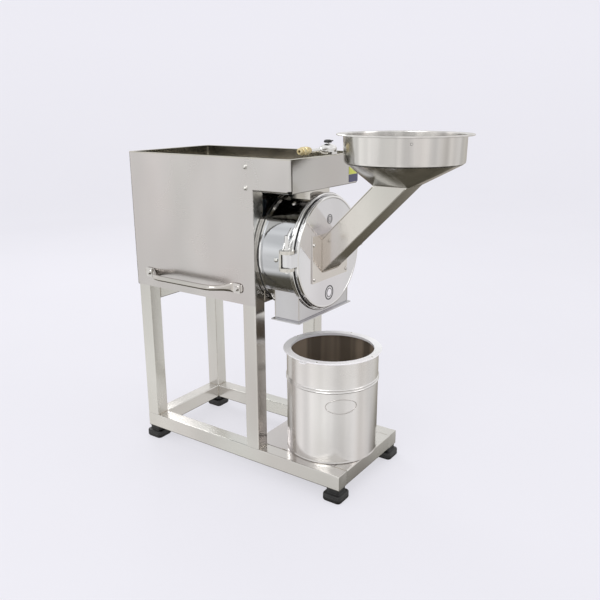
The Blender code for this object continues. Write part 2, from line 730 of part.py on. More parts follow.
def door():
    axis = pivot("door_axis", (-HINGE_X, HINGE_Y, HINGE_Z))
    edge = 0.002
    high = DOOR_THICK
    profile = [(0, high), (DOOR_R, high), (DOOR_R, edge), (DOOR_R - edge, 0), (0, 0)]
    leaf = turned("chamber_door", profile, (0, DOOR_FACE_Y, AXIS_Z), True)
    half = EAR_TALL / 2
    knuckle_r = HINGE_PIN_R + 0.003
    low_z, high_z = HINGE_Z - half, HINGE_Z + half
    knuckle = rod("knuckle", knuckle_r, (-HINGE_X, HINGE_Y, low_z), (-HINGE_X, HINGE_Y, high_z))
    web_low = (-HINGE_X - knuckle_r * 0.8, DOOR_FACE_Y + DOOR_THICK / 2, low_z)
    web = block("knuckle_web", web_low, (-HINGE_X + knuckle_r * 0.8, HINGE_Y, high_z))
    join(leaf, ear("hinge_ear", -1), ear("clamp_ear", 1), web, knuckle)
    bore = HINGE_PIN_R + 2 * GAP
    pin_way = rod("pin_way", bore, (-HINGE_X, HINGE_Y, low_z - TUBE), (-HINGE_X, HINGE_Y, high_z + TUBE))
    slot_half = BOLT_R + 0.0015
    low = (HINGE_X - slot_half, 0, HINGE_Z - slot_half)
    slot = block("bolt_slot", low, (HINGE_X + TUBE, LEG_FRONT_Y, HINGE_Z + slot_half))
    wide = CHUTE_WIDE / 2 - CHUTE_WALL
    low = (-wide, 0, CHUTE_BOTTOM + CHUTE_WALL)
    inlet = block("inlet_hole", low, (wide, LEG_FRONT_Y, CHUTE_BOTTOM + CHUTE_TALL - CHUTE_WALL))
    cut(leaf, pin_way, slot, inlet)
    finished(leaf, POLISHED, axis, smooth=True)
    low = DOOR_FACE_Y + DOOR_THICK + GAP
    seal = ring(DOOR_R - 0.001, DOOR_R - 0.008, low, low + SEAL_THICK)
    finished(turned("door_gasket", seal, (0, 0, AXIS_Z), True), RUBBER, axis, smooth=True)
    return axis


def inlet_chute(axis):
    """A square chute at 45 degrees from the door up to the hopper, with its flange."""
    root = DOOR_FACE_Y - GAP - INLET_FLANGE
    low, high = CHUTE_BOTTOM, CHUTE_BOTTOM + CHUTE_TALL
    top = HOPPER_BOTTOM

    def profile(inset, past):
        """The chute's side view as (y, z), drawn in by the wall and run past both ends."""
        slant = inset * math.sqrt(2)
        into = past + INLET_FLANGE / 2
        start, end = root + into, top + past
        lower, upper = low + slant - into, high - slant - into
        return [(start, lower), (start, upper), (start - end + upper, end), (start - end + lower, end)]

    turn = (math.pi / 2, 0, math.pi / 2)
    duct = outline("inlet_chute", [profile(0, 0)], CHUTE_WIDE, (0, 0, 0), turn)
    wide = 0.081
    plate_low = (-wide, root, low - 0.022)
    plate = block("inlet_flange", plate_low, (wide, root + INLET_FLANGE, high + 0.009))
    shift = (0, 0, 0)
    bore = outline("chute_bore", [profile(CHUTE_WALL, TUBE)], CHUTE_WIDE - 2 * CHUTE_WALL, shift, turn)
    join(duct, plate)
    cut(duct, bore)
    finished(duct, STEEL, axis)


def hopper(axis):
    """A round pan on a funnel that runs from a circle to the chute's rectangle."""
    points = 4 * 12
    top_y = DOOR_FACE_Y - GAP - INLET_FLANGE - (HOPPER_BOTTOM - CHUTE_BOTTOM)
    mouth = (CHUTE_WIDE / 2, CHUTE_TALL / 2)
    centre = top_y + CHUTE_TALL / 2 - HOPPER_Y

    def circle(radius, height):
        turns = [2 * math.pi * i / points for i in range(points)]
        return [(radius * math.cos(t), radius * math.sin(t), height) for t in turns]

    def rectangle(height):
        """The mouth's outline, with each point in the direction of its point on the circle."""
        made = []
        for i in range(points):
            t = 2 * math.pi * i / points
            reach = 1 / max(abs(math.cos(t)), abs(math.sin(t)))
            x = mouth[0] * reach * math.cos(t)
            y = mouth[1] * reach * math.sin(t)
            made.append((x, y + centre, height))
        return made

    def vessel(name, sections):
        """A sheet through the sections, given from the top down the inside."""

        def fill(shape):
            rows = [[shape.verts.new(point) for point in section] for section in sections]
            for above, below in zip(rows, rows[1:]):
                for i in range(points):
                    j = (i + 1) % points
                    shape.faces.new((above[i], below[i], below[j], above[j]))

        made = object_of(name, fill)
        made.location = (0, HOPPER_Y, 0)
        thick = made.modifiers.new("Solidify", "SOLIDIFY")
        thick.thickness = SHEET
        thick.offset = 1
        return made

    taper = 0.002
    shelf = 0.010
    wall = [circle(HOPPER_R + HOPPER_RIM, RIM_TOP), circle(HOPPER_R, RIM_TOP)]
    wall += [circle(HOPPER_R - taper, PAN_BOTTOM), circle(HOPPER_R - shelf, PAN_BOTTOM)]
    finished(vessel("hopper_pan", wall), STEEL, axis, smooth=True)

    top = PAN_BOTTOM - SHEET - GAP
    funnel = vessel("hopper_funnel", [circle(HOPPER_R - 3 * taper, top), rectangle(HOPPER_BOTTOM)])
    seat_low = (-HOPPER_R, -HOPPER_R + HOPPER_Y, HOPPER_BOTTOM - TUBE)
    seat_high = (HOPPER_R, HOPPER_R + HOPPER_Y, HOPPER_BOTTOM + GAP)
    cut(funnel, block("hopper_seat", seat_low, seat_high))
    finished(funnel, STEEL, axis, smooth=True)


def lug(name, side, y, radius, low, high):
    """A round plate about an upright pin, with an arm in to the chamber behind the door's plane."""
    x = side * HINGE_X
    plate = rod(name, radius, (x, y, low), (x, y, high), 24)
    xs = sorted((x, side * (SHELL_R - 0.006)))
    arm_front = max(SHELL_FRONT_Y + GAP, y - radius)
    arm = block(name + "_arm", (xs[0], arm_front, low), (xs[1], y + radius, high))
    return join(plate, arm)


def hinge():
    half = EAR_TALL / 2 + 2 * GAP
    upper = (HINGE_Z + half, HINGE_Z + half + LUG_THICK)
    lower = (HINGE_Z - half - LUG_THICK, HINGE_Z - half)
    bracket = lug("hinge_bracket", -1, HINGE_Y, LUG_R, *upper)
    strap_low = (-HINGE_X - 0.0075, HINGE_Y + LUG_R - 0.0065, lower[0] + GAP)
    strap_high = (-SHELL_R + 0.006, HINGE_Y + LUG_R - GAP, upper[1] - GAP)
    join(bracket, lug("hinge_lug", -1, HINGE_Y, LUG_R, *lower), block("strap", strap_low, strap_high))
    bore = HINGE_PIN_R + GAP
    way = rod("bracket_bore", bore, (-HINGE_X, HINGE_Y, lower[0] - TUBE), (-HINGE_X, HINGE_Y, upper[1] + TUBE))
    cut(bracket, way, shell_envelope("hinge_seat"))
    finished(bracket, STEEL)

    bottom = lower[0] - 0.006
    neck = upper[1] + 2 * GAP
    head = neck + 0.034
    r = HINGE_PIN_R
    profile = [(0, head), (r - 0.001, head), (r, head - 0.001), (r, neck + 0.004), (0.009, neck + 0.004)]
    profile += [(0.009, neck), (r, neck), (r, bottom), (0, bottom)]
    finished(turned("hinge_pin", profile, (-HINGE_X, HINGE_Y, 0), sides=16), POLISHED, smooth=True)


def clamp():
    """Swing bolt and hand nut at the door's free side, swung out of the door's ear."""
    eye_r, eye_half = 0.010, 0.008
    lug_thick = 0.006
    pin_r = 0.004
    inner = eye_half + 2 * GAP
    upper = (HINGE_Z + inner, HINGE_Z + inner + lug_thick)
    lower = (HINGE_Z - inner - lug_thick, HINGE_Z - inner)
    bracket = lug("clamp_bracket", 1, CLAMP_Y, eye_r, *upper)
    pin = rod(
        "clamp_pin", pin_r, (HINGE_X, CLAMP_Y, lower[0] - 0.004), (HINGE_X, CLAMP_Y, upper[1] + 0.004), 16
    )
    join(bracket, lug("clamp_lug", 1, CLAMP_Y, eye_r, *lower), pin)
    cut(bracket, shell_envelope("clamp_seat"))
    finished(bracket, STEEL)

    axis = pivot("clamp_axis", (HINGE_X, CLAMP_Y, HINGE_Z))
    low, high = HINGE_Z - eye_half, HINGE_Z + eye_half
    bolt = rod("swing_bolt", eye_r - 0.001, (HINGE_X, CLAMP_Y, low), (HINGE_X, CLAMP_Y, high))
    end = HINGE_X + BOLT_LENGTH
    shank = rod("bolt_shank", BOLT_R, (HINGE_X, CLAMP_Y, HINGE_Z), (end, CLAMP_Y, HINGE_Z), 16)
    join(bolt, shank)
    way = rod("eye_bore", pin_r + GAP, (HINGE_X, CLAMP_Y, low - TUBE), (HINGE_X, CLAMP_Y, high + TUBE), 16)
    cut(bolt, way)
    finished(bolt, POLISHED, axis, smooth=True)

    thick = 0.0025
    face = HINGE_X + NUT_STAND_OFF
    turn = (0, math.pi / 2, 0)
    washer = turned("clamp_washer", ring(NUT_R, BOLT_R + GAP, 0, thick), (face, CLAMP_Y, HINGE_Z), sides=24)
    washer.rotation_euler = turn
    finished(washer, STEEL, axis)
    place = (face + thick + GAP, CLAMP_Y, HINGE_Z)
    bore = BOLT_R + GAP
    waist = NUT_R - 0.0025
    profile = [(waist, NUT_LENGTH), (NUT_R, NUT_LENGTH - 0.003), (NUT_R, 0.003), (waist, 0)]
    profile += [(bore, 0), (bore, NUT_LENGTH)]
    nut = turned("hand_nut", profile, place, sides=24)
    nut.rotation_euler = turn
    finished(nut, POLISHED, axis, smooth=True)


def water_valve():
    """Inlet valve on the tray's front edge: hose tail, thin pipe, valve body and knob."""
    seat = TRAY_TOP + GAP
    level = seat + 0.012
    start, body_from, body_to = -0.113, 0.000, 0.066
    body = rod("water_valve", PIPE_R, (start + 0.010, VALVE_Y, level), (body_from + 0.010, VALVE_Y, level), 12)
    middle = ((body_from + body_to) / 2, VALVE_Y, level)
    half = (body_to - body_from) / 2

    def dome(shape):
        bmesh.ops.create_uvsphere(shape, u_segments=20, v_segments=10, radius=1)
        bmesh.ops.scale(shape, vec=(half, 0.013, 0.011), verts=shape.verts)

    barrel = object_of("valve_barrel", dome)
    barrel.location = middle
    stem_top = level + 0.015
    stem = rod("valve_stem", 0.0035, middle, (middle[0], VALVE_Y, stem_top), 12)
    parts = [barrel, stem]
    for i, radius in enumerate((0.009, 0.0115, 0.009, 0.0115, 0.0095)):
        x = start + 0.012 * i
        parts.append(rod("hose_tail", radius, (x, VALVE_Y, level), (x + 0.0125, VALVE_Y, level), 12))
    foot_low = (middle[0] - 0.012, TRAY_FRONT_Y - TRAY_LIP, seat)
    parts.append(block("valve_foot", foot_low, (middle[0] + 0.012, VALVE_Y + 0.008, seat + 0.004)))
    join(body, *parts)
    finished(body, FITTING, smooth=True)
    axis = pivot("valve_axis", (middle[0], VALVE_Y, stem_top))
    knob_low = stem_top + GAP
    profile = [(0, 0.006), (KNOB_R - 0.002, 0.006), (KNOB_R, 0.004), (KNOB_R, 0.001), (KNOB_R - 0.001, 0), (0, 0)]
    knob = turned("valve_knob", profile, (middle[0], VALVE_Y, knob_low), sides=20)
    lever_low = (middle[0] - 0.003, VALVE_Y - 0.003, knob_low + 0.003)
    join(knob, block("knob_lever", lever_low, (middle[0] + 0.021, VALVE_Y + 0.003, knob_low + 0.0075)))
    finished(knob, BLACK_PLASTIC, axis)


def drum():
    """The drum that stands under the outlet, and the flat ring on its mouth."""
    floor = BASE_TOP + GAP
    top = DRUM_HEIGHT
    wall = DRUM_WALL
    bead_z, bead = 0.197, 0.0025
    outer = [(DRUM_R, top), (DRUM_R, bead_z + 2 * bead), (DRUM_R + bead, bead_z + bead)]
    outer += [(DRUM_R, bead_z), (DRUM_R + bead, bead_z - bead), (DRUM_R, bead_z - 2 * bead)]
    outer += [(DRUM_R, 0.004), (DRUM_R - 0.004, 0), (0, 0)]
    inner = [(0, wall), (DRUM_R - wall, wall), (DRUM_R - wall, top)]
    can = turned("collecting_drum", outer + inner, (DRUM_X, DRUM_Y, floor))
    axis = pivot("drum_axis", (DRUM_X, DRUM_Y, floor))
    finished(can, STEEL, axis, smooth=True)
    lid = ring(DRUM_RING_R, DRUM_MOUTH_R, 0, 0.003)
    flat = turned("drum_ring", lid, (DRUM_X, DRUM_Y, floor + top + GAP))
    finished(flat, POLISHED, axis, smooth=True)


stand()
feet()
cover()
tray()
for panel_side, panel_name in ((-1, "left"), (1, "right")):
    panel_handle(panel_side, panel_name)
ROTOR_AXIS = rotor(motor())
hammers(ROTOR_AXIS)
chamber()
spout()
throat()
DOOR_AXIS = door()
inlet_chute(DOOR_AXIS)
hopper(DOOR_AXIS)
hinge()
clamp()
water_valve()
drum()
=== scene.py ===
from math import asin, cos, degrees, hypot, pi, radians, sin

import bmesh
import bpy
from mathutils import Matrix, Quaternion, Vector


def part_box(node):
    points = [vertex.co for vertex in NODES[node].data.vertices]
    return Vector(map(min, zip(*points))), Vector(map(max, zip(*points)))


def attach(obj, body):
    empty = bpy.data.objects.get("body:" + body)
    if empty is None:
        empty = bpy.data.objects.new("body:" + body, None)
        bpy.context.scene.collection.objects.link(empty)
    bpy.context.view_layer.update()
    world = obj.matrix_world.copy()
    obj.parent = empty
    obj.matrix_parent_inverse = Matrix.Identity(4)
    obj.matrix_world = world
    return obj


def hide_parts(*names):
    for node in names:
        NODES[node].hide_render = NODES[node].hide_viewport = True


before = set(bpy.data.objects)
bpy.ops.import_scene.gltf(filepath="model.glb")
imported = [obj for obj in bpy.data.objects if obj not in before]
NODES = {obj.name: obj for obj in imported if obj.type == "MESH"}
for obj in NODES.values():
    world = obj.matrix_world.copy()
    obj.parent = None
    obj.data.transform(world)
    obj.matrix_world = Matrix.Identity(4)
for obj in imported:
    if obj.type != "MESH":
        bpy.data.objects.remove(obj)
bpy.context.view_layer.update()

RAIL_LOW, RAIL_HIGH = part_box("base_side_rail_left")
FAR_RAIL_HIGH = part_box("base_side_rail_right")[1]
MID_X = (RAIL_LOW.x + FAR_RAIL_HIGH.x) / 2
BASE_TOP = RAIL_HIGH.z
SEAL_LOW, SEAL_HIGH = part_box("chamber_gasket")
AXIS = Vector((MID_X, 0, (SEAL_LOW.z + SEAL_HIGH.z) / 2))
SIDES = ((-1, "left"), (1, "right"))
SHEET = 0.0015
FOLD = 0.0075
CHUTE_HALF = 0.04  # half the chute's width
CHUTE_SILL = 0.022  # from the chute flange's lower edge up to the duct
CHUTE_PLATE = 0.0033  # how far the chute's flange stands out from the door
DRUM_RADIUS = 0.119
DIRECTIONS = {
    "X": (Vector((0, 1, 0)), Vector((0, 0, 1)), Vector((1, 0, 0))),
    "Y": (Vector((0, 0, 1)), Vector((1, 0, 0)), Vector((0, 1, 0))),
    "Z": (Vector((1, 0, 0)), Vector((0, 1, 0)), Vector((0, 0, 1))),
}


# Materials


def node(tree, kind, inputs=None, **settings):
    """Adds a shader node; an input is a value or another node's output."""
    made = tree.nodes.new("ShaderNode" + kind)
    for key, value in settings.items():
        setattr(made, key, value)
    for key, value in (inputs or {}).items():
        if isinstance(value, bpy.types.NodeSocket):
            tree.links.new(value, made.inputs[key])
        else:
            made.inputs[key].default_value = value
    return made


def blank(name, metallic):
    """A new material, its tree, its shader and the piece's own coordinates."""
    made = bpy.data.materials.new(name)
    made.use_nodes = True
    shader = made.node_tree.nodes["Principled BSDF"]
    shader.inputs["Metallic"].default_value = metallic
    return made, made.node_tree, shader, node(made.node_tree, "TexCoord").outputs["Object"]


def bumped(tree, height, strength, distance, **inputs):
    settings = {"Height": height, "Strength": strength, "Distance": distance, **inputs}
    return node(tree, "Bump", settings).outputs["Normal"]


def plug(tree, shader, **outputs):
    """Links outputs to the shader's sockets: Base_Color is its "Base Color"."""
    for name, output in outputs.items():
        tree.links.new(output, shader.inputs[name.replace("_", " ")])


def shade(colour, by):
    return (*(min(1.0, c * by) for c in colour), 1)


def noise(tree, vector, scale, detail=3.0, rough=0.5):
    made = node(tree, "TexNoise", {"Vector": vector, "Scale": scale, "Detail": detail, "Roughness": rough})
    return made.outputs["Fac"]


def spread(tree, value, low, high, source=(0.3, 0.7)):
    """Maps a pattern's usual range onto low..high."""
    made = node(tree, "MapRange", {"Value": value, "From Min": source[0], "From Max": source[1],
                                   "To Min": low, "To Max": high})
    return made.outputs["Result"]


def mixed(tree, factor, one, two):
    made = node(tree, "Mix", {"Factor": factor}, data_type="RGBA")
    for socket, colour in ((made.inputs["A"], one), (made.inputs["B"], two)):
        if isinstance(colour, bpy.types.NodeSocket):
            tree.links.new(colour, socket)
        else:
            socket.default_value = colour
    return made.outputs["Result"]


def worn_edges(tree, low, high):
    """How near a point is to a sharp edge, mapped onto low..high."""
    soft = node(tree, "Bevel", {"Radius": 0.0012}, samples=4).outputs["Normal"]
    hard = node(tree, "NewGeometry").outputs["Normal"]
    same = node(tree, "VectorMath", {0: soft, 1: hard}, operation="DOT_PRODUCT").outputs["Value"]
    return spread(tree, same, low, high, (0.99, 0.8))


def steel(name, colour, rough, grain, fine=0.35, sway=0.5, stain=0.06, metallic=1.0, streak=0.0):
    """Stainless steel. grain is how often the brushing repeats along each axis; sway is how uneven
    the sheet is; stain is how far smears change the gloss; streak is how dark its upright bands of painted reflection
    are."""
    made, tree, shader, place = blank(name, metallic)
    lines = node(tree, "Mapping", {"Vector": place, "Scale": grain}).outputs["Vector"]
    brushed = noise(tree, lines, 60.0, 4.0, 0.6)
    smears = noise(tree, place, 6.0, 1.5, 0.45)
    tall = node(tree, "Mapping", {"Vector": place, "Scale": (1.0, 1.0, 0.45)}).outputs["Vector"]
    clouds = noise(tree, tall, 6.5, 1.5, 0.4)
    tone = mixed(tree, spread(tree, clouds, 0.0, 1.0), shade(colour, 0.84), shade(colour, 1.07))
    warm = (colour[0] * 0.97, colour[1] * 0.93, colour[2] * 0.86, 1)
    tone = mixed(tree, spread(tree, smears, 0.0, 0.22, (0.52, 0.75)), tone, warm)
    tone = mixed(tree, spread(tree, brushed, 0.0, fine * 0.35), tone, shade(colour, 0.78))
    pink = (colour[0] * 1.05, colour[1] * 0.94, colour[2] * 0.95, 1)
    green = (colour[0] * 0.955, colour[1] * 1.005, colour[2] * 0.975, 1)
    hues = mixed(tree, spread(tree, noise(tree, tall, 5.2, 1.0, 0.3), 0.0, 1.0), pink, green)
    tone = mixed(tree, 0.24, tone, hues)
    # painted reflection: dark upright bands in the colour that stand in for the room seen in polished steel
    if streak:
        posts = node(tree, "Mapping", {"Vector": place, "Scale": (1.0, 1.0, 0.02)}).outputs["Vector"]
        painted_reflection_bands = noise(tree, posts, 26.0, 1.5, 0.5)
        tone = mixed(tree, spread(tree, painted_reflection_bands, 0.0, streak, (0.44, 0.6)), tone, shade(colour, 0.45))
    tone = mixed(tree, worn_edges(tree, 0.0, 0.6), tone, shade(colour, 1.18))
    gloss = spread(tree, smears, rough - stain * 0.4, rough + stain, (0.35, 0.75))
    dull = spread(tree, brushed, -fine * 0.05, fine * 0.09)
    total = node(tree, "Math", {0: gloss, 1: dull}, operation="ADD", use_clamp=True).outputs["Value"]
    scratch = bumped(tree, brushed, fine * 0.05, 0.0002)
    waves = noise(tree, place, 6.5, 1.0, 0.3)
    plug(tree, shader, Base_Color=tone, Roughness=total, Normal=bumped(tree, waves, sway, 0.002, Normal=scratch))
    return made


def moulded(name, colour, rough, size=420.0, depth=0.35):
    """Rubber or plastic with a fine grain and dusty patches."""
    made, tree, shader, place = blank(name, 0.0)
    grain = noise(tree, place, size, 3.0, 0.6)
    dust = noise(tree, place, 26.0, 4.0, 0.6)
    dusty = shade([c + 0.03 for c in colour], 1.6)
    tone = mixed(tree, spread(tree, dust, 0.0, 0.5, (0.45, 0.75)), (*colour, 1), dusty)
    tone = mixed(tree, worn_edges(tree, 0.0, 0.5), tone, (0.16, 0.16, 0.155, 1))
    plug(tree, shader, Base_Color=tone, Roughness=spread(tree, dust, rough - 0.08, rough + 0.12),
         Normal=bumped(tree, grain, depth, 0.0004))
    return made


def enamel(name, colour):
    """Hammered machine paint."""
    made, tree, shader, place = blank(name, 0.0)
    cells = node(tree, "TexVoronoi", {"Vector": place, "Scale": 210.0}).outputs["Distance"]
    grime = noise(tree, place, 12.0, 5.0, 0.6)
    tone = mixed(tree, spread(tree, grime, 0.0, 1.0), shade(colour, 0.75), shade(colour, 1.25))
    tone = mixed(tree, worn_edges(tree, 0.0, 0.5), tone, (0.3, 0.31, 0.32, 1))
    plug(tree, shader, Base_Color=tone, Roughness=spread(tree, grime, 0.3, 0.5),
         Normal=bumped(tree, cells, 0.25, 0.0006))
    shader.inputs["Coat Weight"].default_value = 0.3
    return made


def machined(name, colour):
    """Hard steel with tool marks and rubbed bright edges."""
    made, tree, shader, place = blank(name, 1.0)
    marks = noise(tree, node(tree, "Mapping", {"Vector": place, "Scale": (1, 12, 1)}).outputs["Vector"], 60.0, 4.0)
    soot = noise(tree, place, 18.0, 5.0, 0.6)
    tone = mixed(tree, spread(tree, soot, 0.0, 1.0), shade(colour, 0.6), shade(colour, 1.15))
    tone = mixed(tree, worn_edges(tree, 0.0, 0.8), tone, shade(colour, 2.0))
    plug(tree, shader, Base_Color=tone, Roughness=spread(tree, soot, 0.32, 0.55),
         Normal=bumped(tree, marks, 0.3, 0.0005))
    return made


def plated(name, colour, rough, patch):
    """A cast fitting with a thin, uneven plating."""
    made, tree, shader, place = blank(name, 0.75)
    cloud = noise(tree, place, 70.0, 4.0, 0.6)
    tone = mixed(tree, spread(tree, cloud, 0.0, 1.0), (*colour, 1), (*patch, 1))
    plug(tree, shader, Base_Color=tone, Roughness=spread(tree, cloud, rough, rough + 0.2),
         Normal=bumped(tree, cloud, 0.4, 0.0006))
    return made


def printed(name, colour):
    """A laminated label or printed badge, with slight fading."""
    made, tree, shader, place = blank(name, 0.0)
    fade = noise(tree, place, 90.0, 4.0, 0.6)
    tone = mixed(tree, spread(tree, fade, 0.0, 1.0), shade(colour, 0.88), shade(colour, 1.12))
    plug(tree, shader, Base_Color=tone, Roughness=spread(tree, fade, 0.28, 0.42))
    shader.inputs["Coat Weight"].default_value = 0.4
    return made


BRIGHT = (0.82, 0.82, 0.82)
TUBE_TONE = (0.7, 0.69, 0.66)
TUBE = {
    "X": steel("tube_satin_x", TUBE_TONE, 0.2, (1, 9, 9), 0.3, 0.1, 0.1),
    "Y": steel("tube_satin_y", TUBE_TONE, 0.2, (9, 1, 9), 0.3, 0.1, 0.1),
    "Z": steel("tube_satin_z", TUBE_TONE, 0.2, (9, 9, 1), 0.3, 0.1, 0.1),
}
PANEL = steel("panel_sheet", (0.655, 0.635, 0.625), 0.22, (5, 0.3, 9), 0.14, 0.07, 0.1)
APRON = steel("apron_sheet", (0.61, 0.595, 0.585), 0.15, (0.3, 5, 9), 0.16, 0.1, 0.08)
TRAY = steel("tray_sheet", (0.62, 0.6, 0.55), 0.1, (1, 1, 1), 0.2, 0.25, 0.08)
SPOUT = steel("spout_sheet", (0.61, 0.61, 0.63), 0.15, (7, 2, 2), 0.3, 0.1, 0.08)
DUCT = steel("duct_sheet", (0.73, 0.71, 0.67), 0.15, (7, 2, 2), 0.3, 0.1, 0.1)
# the hopper's streak paints dark upright reflection bands into its colour
HOPPER = steel("hopper_sheet", (0.78, 0.77, 0.75), 0.15, (1, 1, 9), 0.4, 0.1, 0.08, streak=0.42)
MIRROR = steel("polished_steel", BRIGHT, 0.07, (2, 2, 2), 0.12, 0.16, 0.06)
# painted shade: a darker copy of the polished steel for the shell's sides, standing in for the dimmer reflections there
SHELL_DIMMED = steel("shell_mirror_dimmed", (0.6, 0.61, 0.635), 0.09, (2, 2, 2), 0.12, 0.55, 0.1)
HANDLE = steel("handle_tube", (0.6, 0.58, 0.55), 0.1, (2, 2, 2), 0.12, 0.16, 0.06)
DOOR = steel("door_mirror", (0.8, 0.805, 0.83), 0.1, (2, 2, 2), 0.12, 0.06, 0.06)
DRUM = steel("drum_steel", (0.79, 0.78, 0.775), 0.19, (1, 1, 9), 0.3, 0.06, 0.08)
MARK = steel("pressed_mark", (0.62, 0.6, 0.58), 0.3, (6, 6, 6), 0.4, 0.1, 0.1)
# painted shade: a dark brown copy of the drum steel for the drum's inner faces, with painted reflection bands
DRUM_INSIDE_SHADE = steel("drum_inside_painted_shade", (0.46, 0.38, 0.29), 0.16, (1, 1, 9), 0.3, 0.1, 0.08, 0.35, 0.95)
RING = steel("ring_steel", (0.97, 0.97, 0.96), 0.3, (2, 2, 2), 0.1, 0.05, 0.06, 0.08)
WELD = steel("weld_metal", (0.55, 0.51, 0.45), 0.34, (6, 6, 6), 0.6, 0.2, 0.15)
# painted shadow: a near-black steel for strips that stand in for shade in seams
GAP_SHADE = steel("gap_shadow", (0.1, 0.09, 0.08), 0.45, (6, 6, 6), 0.6, 0.2, 0.15)
BOLT = steel("fastener_steel", (0.74, 0.73, 0.71), 0.16, (8, 8, 8), 0.3, 0.1, 0.08)
RUBBER = moulded("black_rubber", (0.007, 0.007, 0.007), 0.42)
PLASTIC = moulded("black_plastic", (0.02, 0.02, 0.02), 0.32, 160.0, 0.15)
PAINT = enamel("motor_enamel", (0.1, 0.14, 0.18))
TOOL = machined("tool_steel", (0.34, 0.33, 0.32))
CREAM = plated("cream_fitting", (0.86, 0.78, 0.52), 0.3, (0.6, 0.47, 0.22))
LIME = printed("label_lime", (0.62, 0.66, 0.08))
NAVY = printed("label_navy", (0.035, 0.035, 0.11))
INK = printed("badge_ink", (0.03, 0.03, 0.035))
SLOTS = {
    **dict.fromkeys((PANEL, APRON, TRAY, SPOUT, DUCT, HOPPER, GAP_SHADE), "stainless_sheet"),
    **dict.fromkeys((MIRROR, SHELL_DIMMED, HANDLE, DOOR, BOLT), "polished_steel"),
    **dict.fromkeys((DRUM, MARK, RING), "drum_steel"),
    WELD: "satin_tube", TOOL: "tool_steel", RUBBER: "black_rubber", PLASTIC: "black_plastic",
    PAINT: "motor_paint", CREAM: "valve_brass",
}


# Shape tools: each adds to a bmesh in the frame's own metres


def lathe(bm, profile, place, axis="Z", sides=96, closed=False):
    """Turns (radius, height) pairs about an axis or facing(); a radius of 0 makes a pole."""
    u, v, w = DIRECTIONS[axis] if isinstance(axis, str) else axis
    rings = []
    for radius, height in profile:
        if radius == 0:
            rings.append([bm.verts.new(place + w * height)])
            continue
        rings.append([bm.verts.new(place + w * height + (u * cos(t) + v * sin(t)) * radius)
                      for t in whole_turn(sides)])
    pairs = list(zip(rings, rings[1:]))
    if closed:
        pairs.append((rings[-1], rings[0]))
    for one, two in pairs:
        for i in range(sides):
            j = (i + 1) % sides
            corners = [one[i % len(one)], one[j % len(one)], two[j % len(two)], two[i % len(two)]]
            corners = list(dict.fromkeys(corners))
            if len(corners) > 2:
                bm.faces.new(corners)


def skin(bm, rows, around=True, back=False):
    """Faces between rows of vertices. around closes each row, and back joins the last row to the first."""
    for one, two in zip(rows, rows[1:] + (rows[:1] if back else [])):
        for i in range(len(one) if around else len(one) - 1):
            j = (i + 1) % len(one)
            bm.faces.new((one[i], one[j], two[j], two[i]))


def spoke(degrees, radius=1.0, z=0.0):
    """A point or direction at an angle about Z."""
    t = radians(degrees)
    return Vector((radius * cos(t), radius * sin(t), z))


def facing(out):
    """Axes like those in DIRECTIONS, with the last along out."""
    turn = Vector((0, 0, 1)).rotation_difference(out).to_matrix()
    return turn.col[0], turn.col[1], turn.col[2]


def whole_turn(count):
    return [2 * pi * i / count for i in range(count)]


def rounded(half_x, half_y, radius, steps=5):
    """A rounded rectangle's points, counter-clockwise about the origin."""
    points = []
    for k, (sx, sy) in enumerate(((1, 1), (-1, 1), (-1, -1), (1, -1))):
        for i in range(steps + 1):
            t = radians(90 * k + 90 * i / steps)
            points.append((sx * (half_x - radius) + radius * cos(t), sy * (half_y - radius) + radius * sin(t)))
    return points


def loft(bm, sections, cap_low=True, cap_high=True):
    """Joins loops of equal length, and caps the ends if asked."""
    rows = [[bm.verts.new(point) for point in section] for section in sections]
    skin(bm, rows)
    if cap_low:
        bm.faces.new(list(reversed(rows[0])))
    if cap_high:
        bm.faces.new(rows[-1])
    return rows


def on_axis(points, place, axis):
    u, v, _ = DIRECTIONS[axis]
    return [place + u * x + v * y for x, y in points]


def box_shape(bm, low, high, radius=0.0, axis="Z", steps=4):
    """A bar between two corners, rounded along one axis."""
    low, high = Vector(low), Vector(high)
    middle, half = (low + high) / 2, (high - low) / 2
    u, v, w = DIRECTIONS[axis]
    loop = rounded(abs(half.dot(u)), abs(half.dot(v)), max(radius, 0.00002), steps)
    reach = abs(half.dot(w))
    loft(bm, [on_axis(loop, middle - w * reach, axis), on_axis(loop, middle + w * reach, axis)])


def sweep(bm, path, sizes, sides=12, up=Vector((0, 0, 1)), ends=True):
    """A bar along a path; sizes are its (across, upright) half widths at each point."""
    rows = []
    for i, point in enumerate(path):
        ahead = path[min(i + 1, len(path) - 1)] - path[max(i - 1, 0)]
        across = ahead.cross(up).normalized()
        upright = across.cross(ahead).normalized()
        a, b = sizes[i] if isinstance(sizes, list) else (sizes, sizes)
        rows.append([point + across * a * cos(t) + upright * b * sin(t) for t in whole_turn(sides)])
    return loft(bm, rows, ends, ends)


def smooth_path(points, steps=8):
    """A Catmull-Rom line through the points."""
    path = []
    for i in range(len(points) - 1):
        p0, p1 = points[max(i - 1, 0)], points[i]
        p2, p3 = points[i + 1], points[min(i + 2, len(points) - 1)]
        for k in range(steps):
            t = k / steps
            path.append(0.5 * (2 * p1 + (p2 - p0) * t + (2 * p0 - 5 * p1 + 4 * p2 - p3) * t**2
                               + (3 * p1 - p0 - 3 * p2 + p3) * t**3))
    path.append(points[-1])
    return path


def bead(bm, start, end, radius=0.0022):
    """A weld bead with its ripples, between two points."""
    start, end = Vector(start), Vector(end)
    length = (end - start).length
    count = max(6, int(length / 0.0016))
    along = (end - start).normalized()
    up = Vector((0, 0, 1)) if abs(along.z) < 0.9 else Vector((0, 1, 0))
    path, sizes = [], []
    for i in range(count + 1):
        t = i / count
        path.append(start + (end - start) * t)
        ripple = radius * (0.8 + 0.2 * cos(i * pi) + 0.12 * sin(i * 1.7 + length * 90))
        taper = min(1.0, 0.45 + 4 * min(t, 1 - t))
        sizes.append((ripple * taper, ripple * taper))
    sweep(bm, path, sizes, 8, up)


